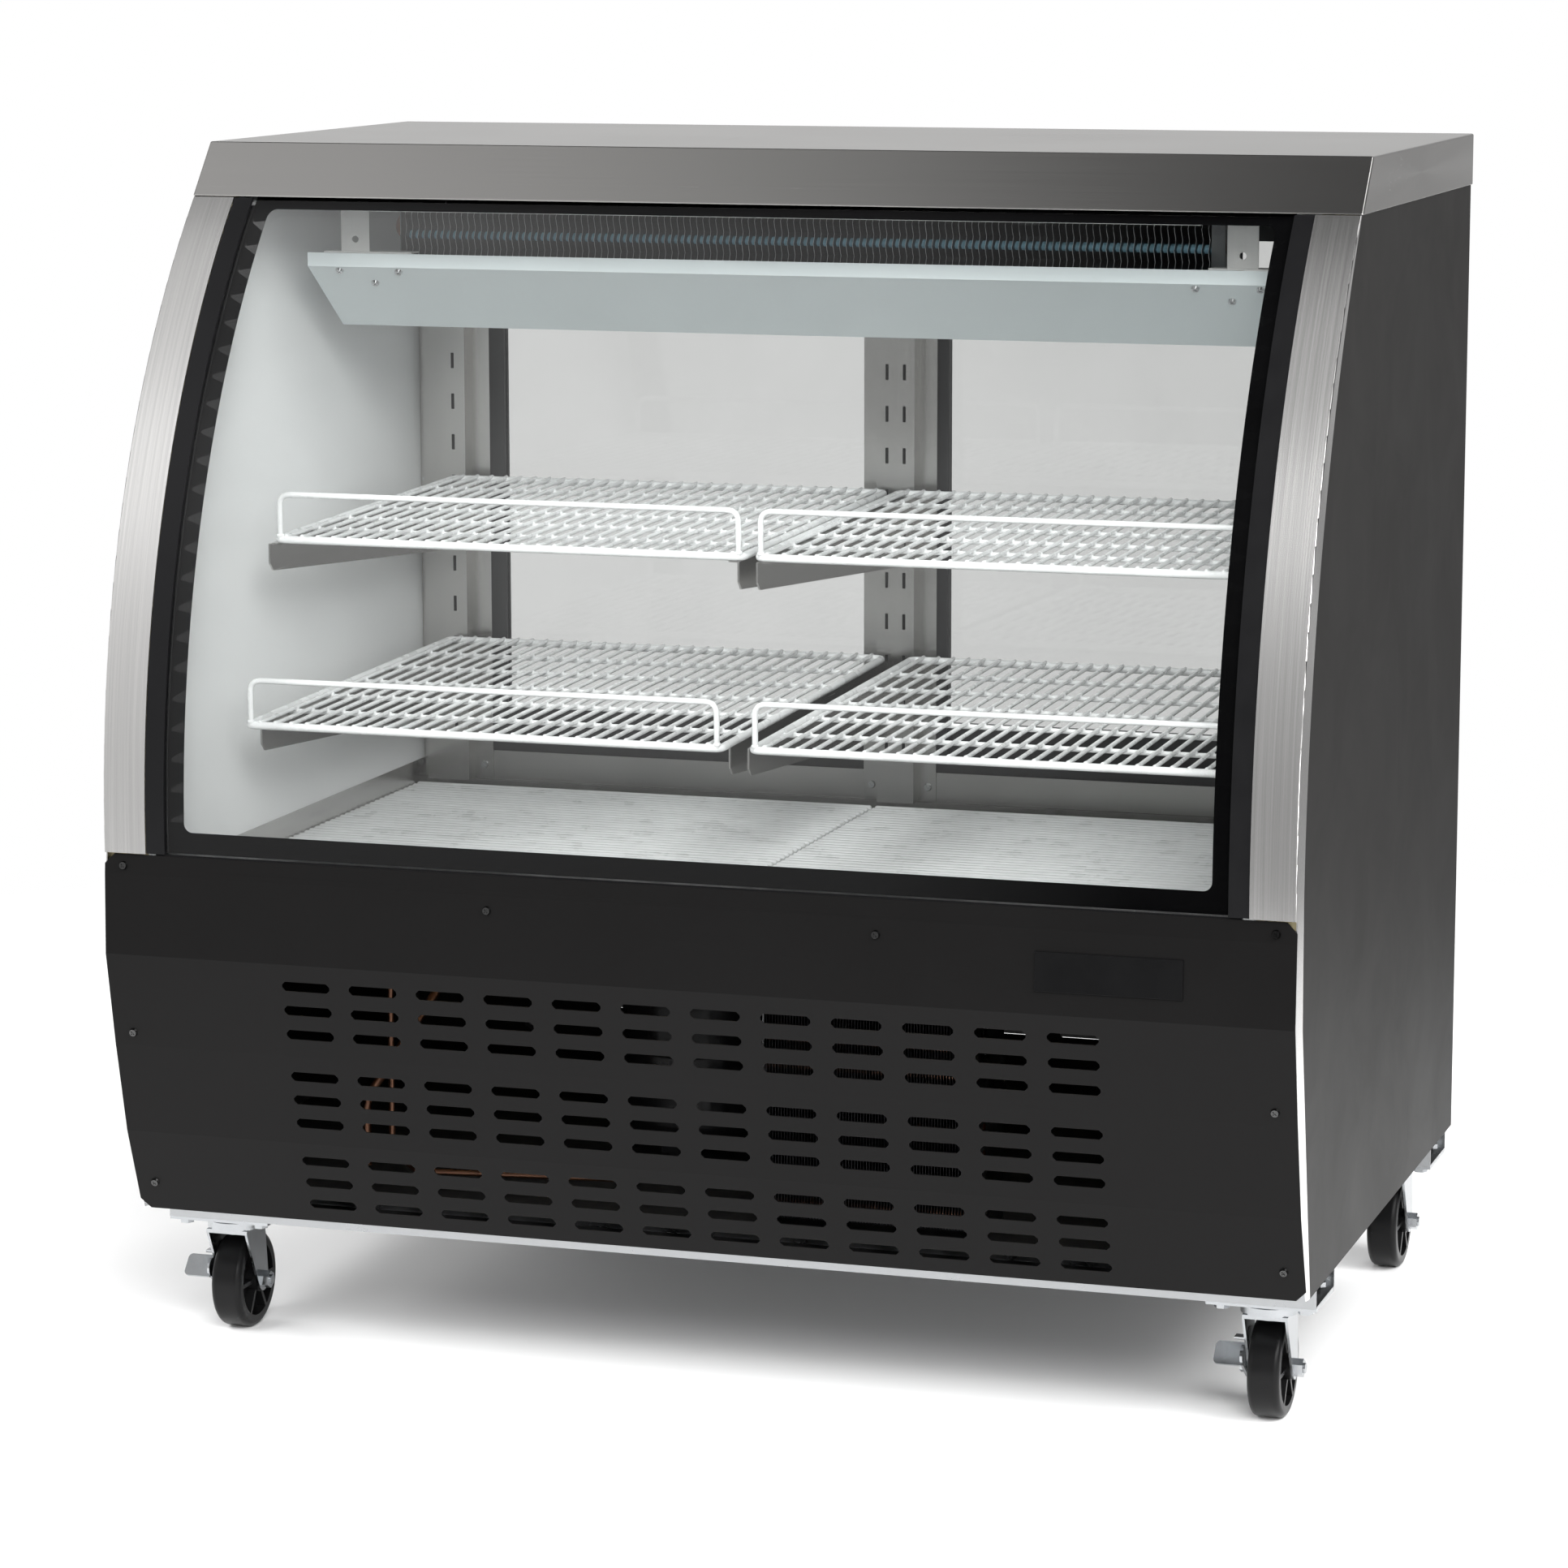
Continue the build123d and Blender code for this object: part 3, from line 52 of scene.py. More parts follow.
# ---------------------------------------------------------------- material kit
class Finish:
    """A procedural material: a Principled shader whose colour, roughness and relief come from noise."""

    def __init__(self, name, **constants):
        self.material = bpy.data.materials.new(name)
        self.material.use_nodes = True
        self.tree = self.material.node_tree
        self.shader = self.tree.nodes["Principled BSDF"]
        self.output = self.tree.nodes["Material Output"]
        self.place = self.add("ShaderNodeTexCoord").outputs["Object"]
        for socket, value in constants.items():
            self.shader.inputs[socket.replace("_", " ")].default_value = value

    def add(self, kind, **settings):
        """A new node with its properties set."""
        node = self.tree.nodes.new(kind)
        for key, value in settings.items():
            setattr(node, key, value)
        return node

    def link(self, source, target):
        """Join an output socket to an input socket."""
        self.tree.links.new(source, target)

    def noise(self, scale, detail=3.0, roughness=0.55, distortion=0.0):
        """Noise of a given number of features per metre along X, Y and Z."""
        stretch = self.add("ShaderNodeMapping")
        stretch.inputs["Scale"].default_value = scale
        self.link(self.place, stretch.inputs["Vector"])
        texture = self.add("ShaderNodeTexNoise")
        texture.inputs["Scale"].default_value = 1.0
        texture.inputs["Detail"].default_value = detail
        texture.inputs["Roughness"].default_value = roughness
        texture.inputs["Distortion"].default_value = distortion
        self.link(stretch.outputs["Vector"], texture.inputs["Vector"])
        return texture.outputs["Fac"]

    def spread(self, socket, low, high, start=0.3, end=0.7):
        """Map a noise value onto a range."""
        node = self.add("ShaderNodeMapRange", clamp=True)
        node.inputs["From Min"].default_value = start
        node.inputs["From Max"].default_value = end
        node.inputs["To Min"].default_value = low
        node.inputs["To Max"].default_value = high
        self.link(socket, node.inputs["Value"])
        return node.outputs["Result"]

    def blend(self, socket, first, second):
        """A colour between two colours or colour sockets."""
        node = self.add("ShaderNodeMix", data_type="RGBA")
        self.link(socket, node.inputs["Factor"])
        for end, value in (("A", first), ("B", second)):
            slot = [s for s in node.inputs if s.name == end and s.type == "RGBA"][0]
            if isinstance(value, bpy.types.NodeSocket):
                self.link(value, slot)
            else:
                slot.default_value = (*value, 1.0)
        return [s for s in node.outputs if s.type == "RGBA"][0]

    def colour(self, socket):
        """Drive the shader's base colour."""
        self.link(socket, self.shader.inputs["Base Color"])

    def rough(self, socket):
        """Drive the shader's roughness."""
        self.link(socket, self.shader.inputs["Roughness"])

    def bump(self, *layers):
        """Relief from (noise socket, depth in metres) layers, one on the other."""
        normal = None
        for socket, depth in layers:
            node = self.add("ShaderNodeBump")
            node.inputs["Strength"].default_value = 1.0
            node.inputs["Distance"].default_value = depth
            self.link(socket, node.inputs["Height"])
            if normal is not None:
                self.link(normal, node.inputs["Normal"])
            normal = node.outputs["Normal"]
        self.link(normal, self.shader.inputs["Normal"])


# Brush marks per metre: single lines, bands of lines, and breaks along the lines.
LINES, BANDS, BREAKS = 1100.0, 520.0, 2.5
# For each run of the lines: the axes they run in, the tangent's axis and turn, and the detail of the bands.
BRUSH = {
    "x": ("x", "X", 0.0, 5.0),
    "y": ("y", "Y", 0.0, 5.0),
    "z": ("z", "Z", 0.0, 5.0),
    "arc": ("yz", "X", 0.25, 2.0),
}


def brushed(name, colour, along, roughness=(0.25, 0.27), contrast=0.03, anisotropy=0.6, metallic=1.0):
    """Brushed sheet steel. The lines run along one axis, or along the front arc for "arc"."""
    axes, tangent_axis, turn, band_detail = BRUSH[along]

    def stretched(rate):
        return [BREAKS if axis in axes else rate for axis in "xyz"]

    steel = Finish(name, Metallic=metallic, Anisotropic=anisotropy)
    tangent = steel.add("ShaderNodeTangent", direction_type="RADIAL", axis=tangent_axis)
    steel.link(tangent.outputs["Tangent"], steel.shader.inputs["Tangent"])
    steel.shader.inputs["Anisotropic Rotation"].default_value = turn
    lines = steel.noise(stretched(LINES), detail=2.0)
    bands = steel.noise(stretched(BANDS), detail=band_detail, roughness=0.7)
    hands = steel.noise((6.0, 6.0, 6.0), detail=3.0, roughness=0.5)
    dark = [channel * (1 - contrast) for channel in colour]
    light = [min(1.0, channel * (1 + contrast)) for channel in colour]
    steel.colour(steel.blend(steel.spread(bands, 0.0, 1.0), dark, light))
    low, high = roughness
    grain = steel.spread(bands, low, high)
    handled = steel.add("ShaderNodeMath", operation="ADD")
    steel.link(grain, handled.inputs[0])
    steel.link(steel.spread(hands, -0.004, 0.008, 0.3, 0.7), handled.inputs[1])
    steel.rough(handled.outputs["Value"])
    if along != "arc":
        steel.bump((bands, 0.0000008), (lines, 0.0000004))
    return steel.material


def painted(name, colour, roughness, relief, specular=0.5, mottle=0.06, peel=260.0):
    """Sprayed paint on sheet metal, with orange peel and faint handling marks."""
    sprayed = Finish(name)
    sprayed.shader.inputs["Specular IOR Level"].default_value = specular
    peel_noise = sprayed.noise((peel, peel, peel), detail=2.0)
    cloud = sprayed.noise((7.0, 7.0, 7.0), detail=5.0, roughness=0.6, distortion=0.6)
    dark = [channel * (1 - mottle) for channel in colour]
    light = [min(1.0, channel * (1 + mottle)) for channel in colour]
    sprayed.colour(sprayed.blend(sprayed.spread(cloud, 0.0, 1.0), dark, light))
    sprayed.rough(sprayed.spread(cloud, roughness[0], roughness[1]))
    sprayed.bump((peel_noise, relief))
    return sprayed.material


def moulded(name, colour, roughness, relief=0.00003, grain=900.0, coat=0.0, specular=0.5):
    """Moulded plastic, rubber or vinyl coating."""
    plastic = Finish(name, Coat_Weight=coat, Coat_Roughness=0.15)
    plastic.shader.inputs["Specular IOR Level"].default_value = specular
    grain_noise = plastic.noise((grain, grain, grain), detail=2.0)
    cloud = plastic.noise((30.0, 30.0, 30.0), detail=4.0)
    dark = [channel * 0.93 for channel in colour]
    light = [min(1.0, channel * 1.06) for channel in colour]
    plastic.colour(plastic.blend(plastic.spread(cloud, 0.0, 1.0), dark, light))
    plastic.rough(plastic.spread(cloud, roughness[0], roughness[1]))
    plastic.bump((grain_noise, relief))
    return plastic.material


def galvanised(name, colour, roughness=(0.25, 0.42)):
    """Zinc coated sheet with faint spangle."""
    zinc = Finish(name, Metallic=1.0)
    cells = zinc.add("ShaderNodeTexVoronoi")
    cells.inputs["Scale"].default_value = 110.0
    zinc.link(zinc.place, cells.inputs["Vector"])
    cloud = zinc.noise((25.0, 25.0, 25.0), detail=4.0)
    shade = zinc.add("ShaderNodeSeparateColor")
    zinc.link(cells.outputs["Color"], shade.inputs["Color"])
    dark = [channel * 0.9 for channel in colour]
    zinc.colour(zinc.blend(zinc.spread(shade.outputs["Red"], 0.0, 1.0, 0.0, 1.0), dark, colour))
    zinc.rough(zinc.spread(cloud, roughness[0], roughness[1]))
    zinc.bump((cloud, 0.00004))
    return zinc.material


def plated(name, colour, roughness=(0.16, 0.3)):
    """Bright zinc plate on pressed steel."""
    plate = Finish(name, Metallic=1.0)
    cloud = plate.noise((60.0, 60.0, 60.0), detail=5.0, roughness=0.6)
    pits = plate.noise((900.0, 900.0, 900.0), detail=2.0)
    dark = [channel * 0.84 for channel in colour]
    plate.colour(plate.blend(plate.spread(cloud, 0.0, 1.0), dark, colour))
    plate.rough(plate.spread(cloud, roughness[0], roughness[1]))
    plate.bump((pits, 0.00002))
    return plate.material


def pane(name, tint, clear=0.97):
    """Thin clear glass: what is behind it shows through, under a mirror that grows at a grazing angle."""
    glass = Finish(name)
    glass.tree.nodes.remove(glass.shader)
    through = glass.add("ShaderNodeBsdfTransparent")
    smear = glass.noise((6.0, 6.0, 6.0), detail=5.0, distortion=1.2)
    clean = [channel * clear for channel in tint]
    smeared = [channel * clear * 0.985 for channel in tint]
    colour = glass.blend(glass.spread(smear, 0.0, 1.0), clean, smeared)
    glass.link(colour, through.inputs["Color"])
    mirror = glass.add("ShaderNodeBsdfAnisotropic")
    mirror.inputs["Color"].default_value = (1.0, 1.0, 1.0, 1.0)
    mirror.inputs["Roughness"].default_value = 0.02
    angle = glass.add("ShaderNodeFresnel")
    angle.inputs["IOR"].default_value = 1.38
    mix = glass.add("ShaderNodeMixShader")
    glass.link(angle.outputs["Fac"], mix.inputs["Fac"])
    glass.link(through.outputs["BSDF"], mix.inputs[1])
    glass.link(mirror.outputs["BSDF"], mix.inputs[2])
    glass.link(mix.outputs["Shader"], glass.output.inputs["Surface"])
    return glass.material


def by_place(name, first, second, low, high, axis):
    """Two finishes on one piece: the first below a place on an axis, the second above it."""
    both = Finish(name)
    both.tree.nodes.remove(both.shader)
    shaders = []
    for colour, metal, roughness in (first, second):
        shader = both.add("ShaderNodeBsdfPrincipled")
        shader.inputs["Metallic"].default_value = metal
        shader.inputs["Specular IOR Level"].default_value = 0.3
        cloud = both.noise((40.0, 40.0, 40.0), detail=4.0)
        dark = [channel * 0.86 for channel in colour]
        both.link(both.blend(both.spread(cloud, 0.0, 1.0), dark, colour), shader.inputs["Base Color"])
        both.link(both.spread(cloud, roughness[0], roughness[1]), shader.inputs["Roughness"])
        shaders.append(shader)
    split = both.add("ShaderNodeSeparateXYZ")
    both.link(both.place, split.inputs["Vector"])
    inside = both.spread(split.outputs[axis], 0.0, 1.0, low, high)
    mix = both.add("ShaderNodeMixShader")
    both.link(inside, mix.inputs["Fac"])
    both.link(shaders[0].outputs["BSDF"], mix.inputs[1])
    both.link(shaders[1].outputs["BSDF"], mix.inputs[2])
    both.link(mix.outputs["Shader"], both.output.inputs["Surface"])
    return both.material


STEEL = (0.60, 0.59, 0.575)
FOAM_TAPE = (0.375, 0.376)  # Y where the sealing tape over the foam's rear edge starts
PLAIN_SCREWS = (-0.301, -0.299)  # Y behind which the screws are plain zinc and not blackened
DECK_SHADE_FACE = (0.1656, 0.1660)  # Z of the deck's dark face, over the zinc rails: painted shade for the shaded inside behind the grille
MATERIALS = {
    "stainless": brushed("stainless_z", STEEL, "z"),
    "stainless_x": brushed("stainless_x", STEEL, "x"),
    "stainless_y": brushed("stainless_y", STEEL, "y"),
    "stainless_arc": brushed("stainless_arc", (0.84, 0.83, 0.82), "arc", contrast=0.08, anisotropy=0.85),
    "satin": brushed("satin", (0.66, 0.66, 0.65), "z", (0.38, 0.42), metallic=0.35),
    "galvanised": galvanised("galvanised", (0.44, 0.45, 0.46)),
    "zinc": plated("zinc", (0.47, 0.485, 0.50), (0.16, 0.28)),
    "wheel_black": moulded("wheel_black", (0.0045, 0.0045, 0.0047), (0.26, 0.4), specular=0.18),
    "charcoal_paint": painted(
        "charcoal_paint", (0.015, 0.0143, 0.0140), (0.42, 0.48), 0.00002, specular=0.08, mottle=0.01,
        peel=700.0,
    ),
    "black_paint": painted(
        "black_paint", (0.0048, 0.0046, 0.0046), (0.3, 0.36), 0.00001, specular=0.11, mottle=0.02,
        peel=500.0,
    ),
    "white_liner": painted("white_liner", (0.86, 0.87, 0.87), (0.3, 0.4), 0.00002, mottle=0.012),
    "white_enamel": painted("white_enamel", (0.63, 0.685, 0.695), (0.28, 0.38), 0.00002, mottle=0.012),
    "foam": by_place(
        "foam", ((0.78, 0.68, 0.42), 0.0, (0.8, 0.95)), ((0.02, 0.02, 0.021), 0.0, (0.5, 0.6)),
        *FOAM_TAPE, "Y",
    ),
    "black_gasket": moulded("black_gasket", (0.005, 0.005, 0.0054), (0.3, 0.42), specular=0.16),
    "clear_glass": pane("clear_glass", (0.99, 0.995, 0.993)),
    "door_pane": pane("door_pane", (0.875, 0.875, 0.872), 0.95),
    "black_enamel": moulded("black_enamel", (0.002, 0.002, 0.0022), (0.12, 0.2), 0.000005, specular=0.04),
    "screws": by_place(
        "screws", ((0.09, 0.09, 0.09), 1.0, (0.16, 0.24)), ((0.75, 0.76, 0.77), 1.0, (0.2, 0.3)),
        *PLAIN_SCREWS, "Y",
    ),
    "badge_black": moulded("badge_black", (0.0032, 0.0032, 0.0034), (0.3, 0.4), specular=0.1),
    "rack_wire": moulded("rack_wire", (0.66, 0.67, 0.67), (0.25, 0.36), 0.00004, 220.0, coat=0.15),
    "white_wire": moulded("white_wire", (0.86, 0.87, 0.87), (0.22, 0.34), 0.00004, 220.0, coat=0.25),
    # Dark fin faces: painted shade between the close fins of the coils
    "fin_sheet_shade": plated("fin_sheet_shade", (0.12, 0.125, 0.135), (0.3, 0.45)),
    # Light fin front edges: painted highlight where the lamps catch the edges of the same fins
    "fin_edge_highlight": moulded("fin_edge_highlight", (0.72, 0.73, 0.74), (0.3, 0.4)),
    # Dark condenser fins: painted shade behind the grille's slots
    "fin_dark_shade": plated("fin_dark_shade", (0.10, 0.10, 0.105), (0.35, 0.5)),
    # Light blue coil pipes: partly a blue coating, partly a painted highlight, the bright band across the
    # coil
    "coil_tube_blue_highlight": moulded("coil_tube_blue_highlight", (0.30, 0.56, 0.70), (0.12, 0.2), coat=0.4),
    "fan_black": moulded("fan_black", (0.012, 0.012, 0.013), (0.35, 0.5), specular=0.3),
    "lamp_diffuser": moulded("lamp_diffuser", (0.82, 0.83, 0.82), (0.35, 0.45)),
    "door_black": moulded("door_black", (0.045, 0.045, 0.046), (0.3, 0.42), specular=0.25),
    "controller_black": moulded("controller_black", (0.012, 0.012, 0.014), (0.22, 0.34)),
    "gland_grey": moulded("gland_grey", (0.03, 0.03, 0.032), (0.4, 0.5)),
    "compressor_black": painted(
        "compressor_black", (0.010, 0.010, 0.011), (0.18, 0.3), 0.00008, peel=120.0,
    ),
    "copper": plated("copper", (0.50, 0.26, 0.17), (0.3, 0.45)),
    # Zinc rails, and a dark grey deck top above them: painted shade inside the compartment behind the
    # grille
    "rail_and_shaded_deck": by_place(
        "rail_and_shaded_deck", ((0.44, 0.45, 0.46), 1.0, (0.25, 0.4)), ((0.03, 0.03, 0.03), 0.0, (0.4, 0.5)),
        *DECK_SHADE_FACE, "Z",
    ),
}
BY_NODE = {
    "top_cover": "stainless_x",
    "front_trim_left": "stainless_arc",
    "front_trim_right": "stainless_arc",
    "screws": "screws",
    "base_frame": "rail_and_shaded_deck",
    "evaporator_coil": "fin_sheet_shade",
    "condenser_coil": "fin_sheet_shade",
    "tray_hangers": "satin",
    "deck_pan": "stainless_x",
    "rear_sill": "stainless_x",
    "shelf_brackets": "stainless_y",
}


def paint(piece, finish):
    """Give every slot of a piece one of the materials above."""
    if not piece.data.materials:
        piece.data.materials.append(None)
    for index in range(len(piece.data.materials)):
        piece.data.materials[index] = MATERIALS[finish]


for part in record["subparts"]:
    paint(frame["nodes"][part["node"]], BY_NODE.get(part["node"], part["material_slot"]))


# ---------------------------------------------------------------- shape kit
def tube(mesh, path, radius, sides=12, closed=False):
    """A round wire along a path of points, with domed ends."""
    count = len(path)
    rings = []
    side = None
    for index, point in enumerate(path):
        if closed:
            run = path[(index + 1) % count] - path[index - 1]
        else:
            run = path[min(index + 1, count - 1)] - path[max(index - 1, 0)]
        run.normalize()
        if side is None:
            side = run.orthogonal().normalized()
        side = (side - run * side.dot(run)).normalized()
        other = run.cross(side)
        ring = []
        for step in range(sides):
            angle = 2 * pi * step / sides
            ring.append(mesh.verts.new(point + radius * (cos(angle) * side + sin(angle) * other)))
        rings.append(ring)
    pairs = list(zip(rings, rings[1:])) + ([(rings[-1], rings[0])] if closed else [])
    for first, second in pairs:
        for step in range(sides):
            after = (step + 1) % sides
            mesh.faces.new((first[step], first[after], second[after], second[step]))
    if not closed:
        for ring, tip, inward in ((rings[0], path[0], path[1]), (rings[-1], path[-1], path[-2])):
            out = (tip - inward).normalized()
            dome = [mesh.verts.new(tip + (v.co - tip) * 0.7 + out * radius * 0.5) for v in ring]
            top = mesh.verts.new(tip + out * radius * 0.72)
            flip = ring is rings[0]
            for step in range(sides):
                after = (step + 1) % sides
                wall = (ring[step], ring[after], dome[after], dome[step])
                roof = (dome[step], dome[after], top)
                mesh.faces.new(wall if not flip else wall[::-1])
                mesh.faces.new(roof if not flip else roof[::-1])


def rounded(points, radius, steps=6, closed=False):
    """A path with its corners replaced by arcs."""
    path = []
    count = len(points)
    for index, corner in enumerate(points):
        if not closed and index in (0, count - 1):
            path.append(corner.copy())
            continue
        before = (points[index - 1] - corner).normalized()
        after = (points[(index + 1) % count] - corner).normalized()
        start, end = corner + before * radius, corner + after * radius
        for step in range(steps + 1):
            share = step / steps
            path.append(start * (1 - share) ** 2 + corner * 2 * share * (1 - share) + end * share**2)
    return path


def bead(mesh, centre, size):
    """A small flattened blob of coating where two wires cross."""
    matrix = Matrix.Translation(centre) @ Matrix.Diagonal((*size, 1.0))
    bmesh.ops.create_icosphere(mesh, subdivisions=2, radius=1.0, matrix=matrix)


def bar(mesh, low, high):
    """A box between two corners."""
    centre = (Vector(low) + Vector(high)) / 2
    size = Vector(high) - Vector(low)
    matrix = Matrix.Translation(centre) @ Matrix.Diagonal((*size, 1.0))
    bmesh.ops.create_cube(mesh, size=1.0, matrix=matrix)


def piece(name, mesh, finish, node, body="cabinet", smooth=True, replace=True):
    """Turn a bmesh into a piece that rides on a body and stands for a CAD node."""
    data = bpy.data.meshes.new(name)
    bmesh.ops.recalc_face_normals(mesh, faces=mesh.faces)
    mesh.to_mesh(data)
    mesh.free()
    for face in data.polygons:
        face.use_smooth = smooth
    made = bpy.data.objects.new(name, data)
    bpy.context.scene.collection.objects.link(made)
    paint(made, finish)
    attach(made, body)
    if replace:
        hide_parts(node)
    return made


# ---------------------------------------------------------------- coated wire shelves
TILT = radians(1.2)
RIM = 0.008  # diameter of the rim wire
RIM_CORNER = 0.009
UPPER_DEPTH = 0.5
LOWER_DEPTH = 0.564
LONG_WIRES, LONG_PITCH, LONG_RADIUS = 29, 0.017, 0.0022  # the wires from front to back
LONG_Z = 0.0074
CROSS_WIRES, CROSS_RADIUS, CROSS_Z = 5, 0.0025, 0.0032  # the wires under them, from side to side
GUARD_TOP, GUARD_RADIUS, GUARD_CORNER = 0.050, 0.003, 0.012


def wire_shelf(node):
    """A coated wire shelf: rim, cross wires under, long wires over, and the guard wire in front."""
    low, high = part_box(node)
    half = (high.x - low.x) / 2
    depth = UPPER_DEPTH if "upper" in node else LOWER_DEPTH
    mesh = bmesh.new()
    inset = RIM / 2
    back = depth - inset
    corners = [
        Vector((-half + inset, inset, inset)), Vector((half - inset, inset, inset)),
        Vector((half - inset, back, inset)), Vector((-half + inset, back, inset)),
    ]
    tube(mesh, rounded(corners, RIM_CORNER, closed=True), RIM / 2, 14, closed=True)
    cross_pitch = (depth - 0.008) / 6
    xs = [(index - (LONG_WIRES - 1) / 2) * LONG_PITCH for index in range(LONG_WIRES)]
    ys = [depth / 2 + (index - (CROSS_WIRES - 1) / 2) * cross_pitch for index in range(CROSS_WIRES)]
    for x in xs:
        path = [Vector((x, 0.003, LONG_Z + 0.0002)), Vector((x, 0.012, LONG_Z - 0.0006))]
        path += [Vector((x, y, LONG_Z - 0.0006)) for y in ys]
        path += [Vector((x, depth - 0.012, LONG_Z - 0.0006)), Vector((x, depth - 0.003, LONG_Z))]
        tube(mesh, path, LONG_RADIUS, 10)
    for y in ys:
        ends = [Vector((-half + RIM, y, CROSS_Z)), Vector((half - RIM, y, CROSS_Z))]
        tube(mesh, ends, CROSS_RADIUS, 10)
        for x in xs:
            bead(mesh, Vector((x, y, 0.0052)), (0.0036, 0.0036, 0.0030))
    for x in xs:
        for y in (inset, depth - inset):
            bead(mesh, Vector((x, y, 0.0062)), (0.0034, 0.0030, 0.0028))
    leg = half - 0.0075
    guard = [
        Vector((-leg, inset, RIM / 2)), Vector((-leg, inset, GUARD_TOP)),
        Vector((leg, inset, GUARD_TOP)), Vector((leg, inset, RIM / 2)),
    ]
    tube(mesh, rounded(guard, GUARD_CORNER), GUARD_RADIUS, 12)
    for x in (-leg, leg):
        bead(mesh, Vector((x, inset, RIM)), (0.0042, 0.0038, 0.0030))
    spot = Matrix.Translation(((low.x + high.x) / 2, low.y + RIM * sin(TILT), low.z))
    place = spot @ Matrix.Rotation(TILT, 4, "X")
    bmesh.ops.transform(mesh, matrix=place, verts=mesh.verts)
    piece(f"{node}_wires", mesh, "white_wire", node)


ROD_RADIUS, ROD_PITCH = 0.00325, 0.014  # rods from side to side
BEARER_RADIUS, BEARERS = 0.003, 4  # wires under them, from front to back


def floor_rack(node):
    """A coated wire rack on short feet, its rods across the case."""
    low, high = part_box(node)
    mesh = bmesh.new()
    z = high.z - ROD_RADIUS
    under = z - 0.0045
    bearers = [low.x + 0.008 + step * (high.x - low.x - 0.016) / (BEARERS - 1) for step in range(BEARERS)]
    y = high.y - ROD_RADIUS
    while y > low.y + ROD_RADIUS / 2:
        tube(mesh, [Vector((low.x + 0.003, y, z)), Vector((high.x - 0.003, y, z))], ROD_RADIUS, 10)
        for x in bearers:
            bead(mesh, Vector((x, y, z - 0.0028)), (0.0042, 0.0042, 0.0030))
        y -= ROD_PITCH
    for x in bearers:
        ends = [Vector((x, low.y + 0.004, under)), Vector((x, high.y - 0.004, under))]
        tube(mesh, ends, BEARER_RADIUS, 10)
        for foot_y in (low.y + 0.02, (low.y + high.y) / 2, high.y - 0.02):
            foot = [Vector((x, foot_y, under)), Vector((x, foot_y, low.z + 0.0025))]
            tube(mesh, foot, BEARER_RADIUS, 10)
    piece(f"{node}_wires", mesh, "rack_wire", node)


WAVE_LENGTH = 0.022


def fins(mesh, xs, depth, heights, thickness, wave=0.0):
    """Thin upright sheets at given places along X, wavy over their height."""
    steps = 18 if wave else 1
    for x in xs:
        levels = []
        for step in range(steps + 1):
            z = heights[0] + (heights[1] - heights[0]) * step / steps
            shift = wave * sin(2 * pi * (z - heights[0]) / WAVE_LENGTH)
            levels.append([
                mesh.verts.new((x + shift + side, y, z))
                for side, y in (
                    (-thickness / 2, depth[0]), (thickness / 2, depth[0]),
                    (thickness / 2, depth[1]), (-thickness / 2, depth[1]),
                )
            ])
        for under, over in zip(levels, levels[1:]):
            for corner in range(4):
                after = (corner + 1) % 4
                mesh.faces.new((under[corner], under[after], over[after], over[corner]))
        mesh.faces.new(levels[0][::-1])
        mesh.faces.new(levels[-1])


def bend(mesh, first, second, reach, pipe):
    """A return bend of pipe between two rows, bulging along X."""
    middle, half = (first + second) / 2, (second - first) / 2
    path = [first]
    for step in range(1, 12):
        angle = pi * step / 12 - pi / 2
        path.append(middle + half * sin(angle) + Vector((reach * cos(angle), 0, 0)))
    path.append(second)
    tube(mesh, path, pipe, 12)


# The ceiling coil: its fins between the end plates, and its pipes as (Y, Z).
COIL_X = (-0.464, 0.404)
COIL_Y = (0.060, 0.120)
COIL_FIN_TOP = 1.147
COIL_FINS, FIN_WAVE = 124, 0.0009
COIL_ROWS = ((0.075, 1.0595), (0.105, 1.0845), (0.075, 1.1095), (0.105, 1.1345))
COIL_PIPE, BEND_PIPE, BEND_REACH = 0.00475, 0.0047, 0.0124
END_PLATE = (0.0012, 0.014)  # thickness of the left one and of the deeper right one


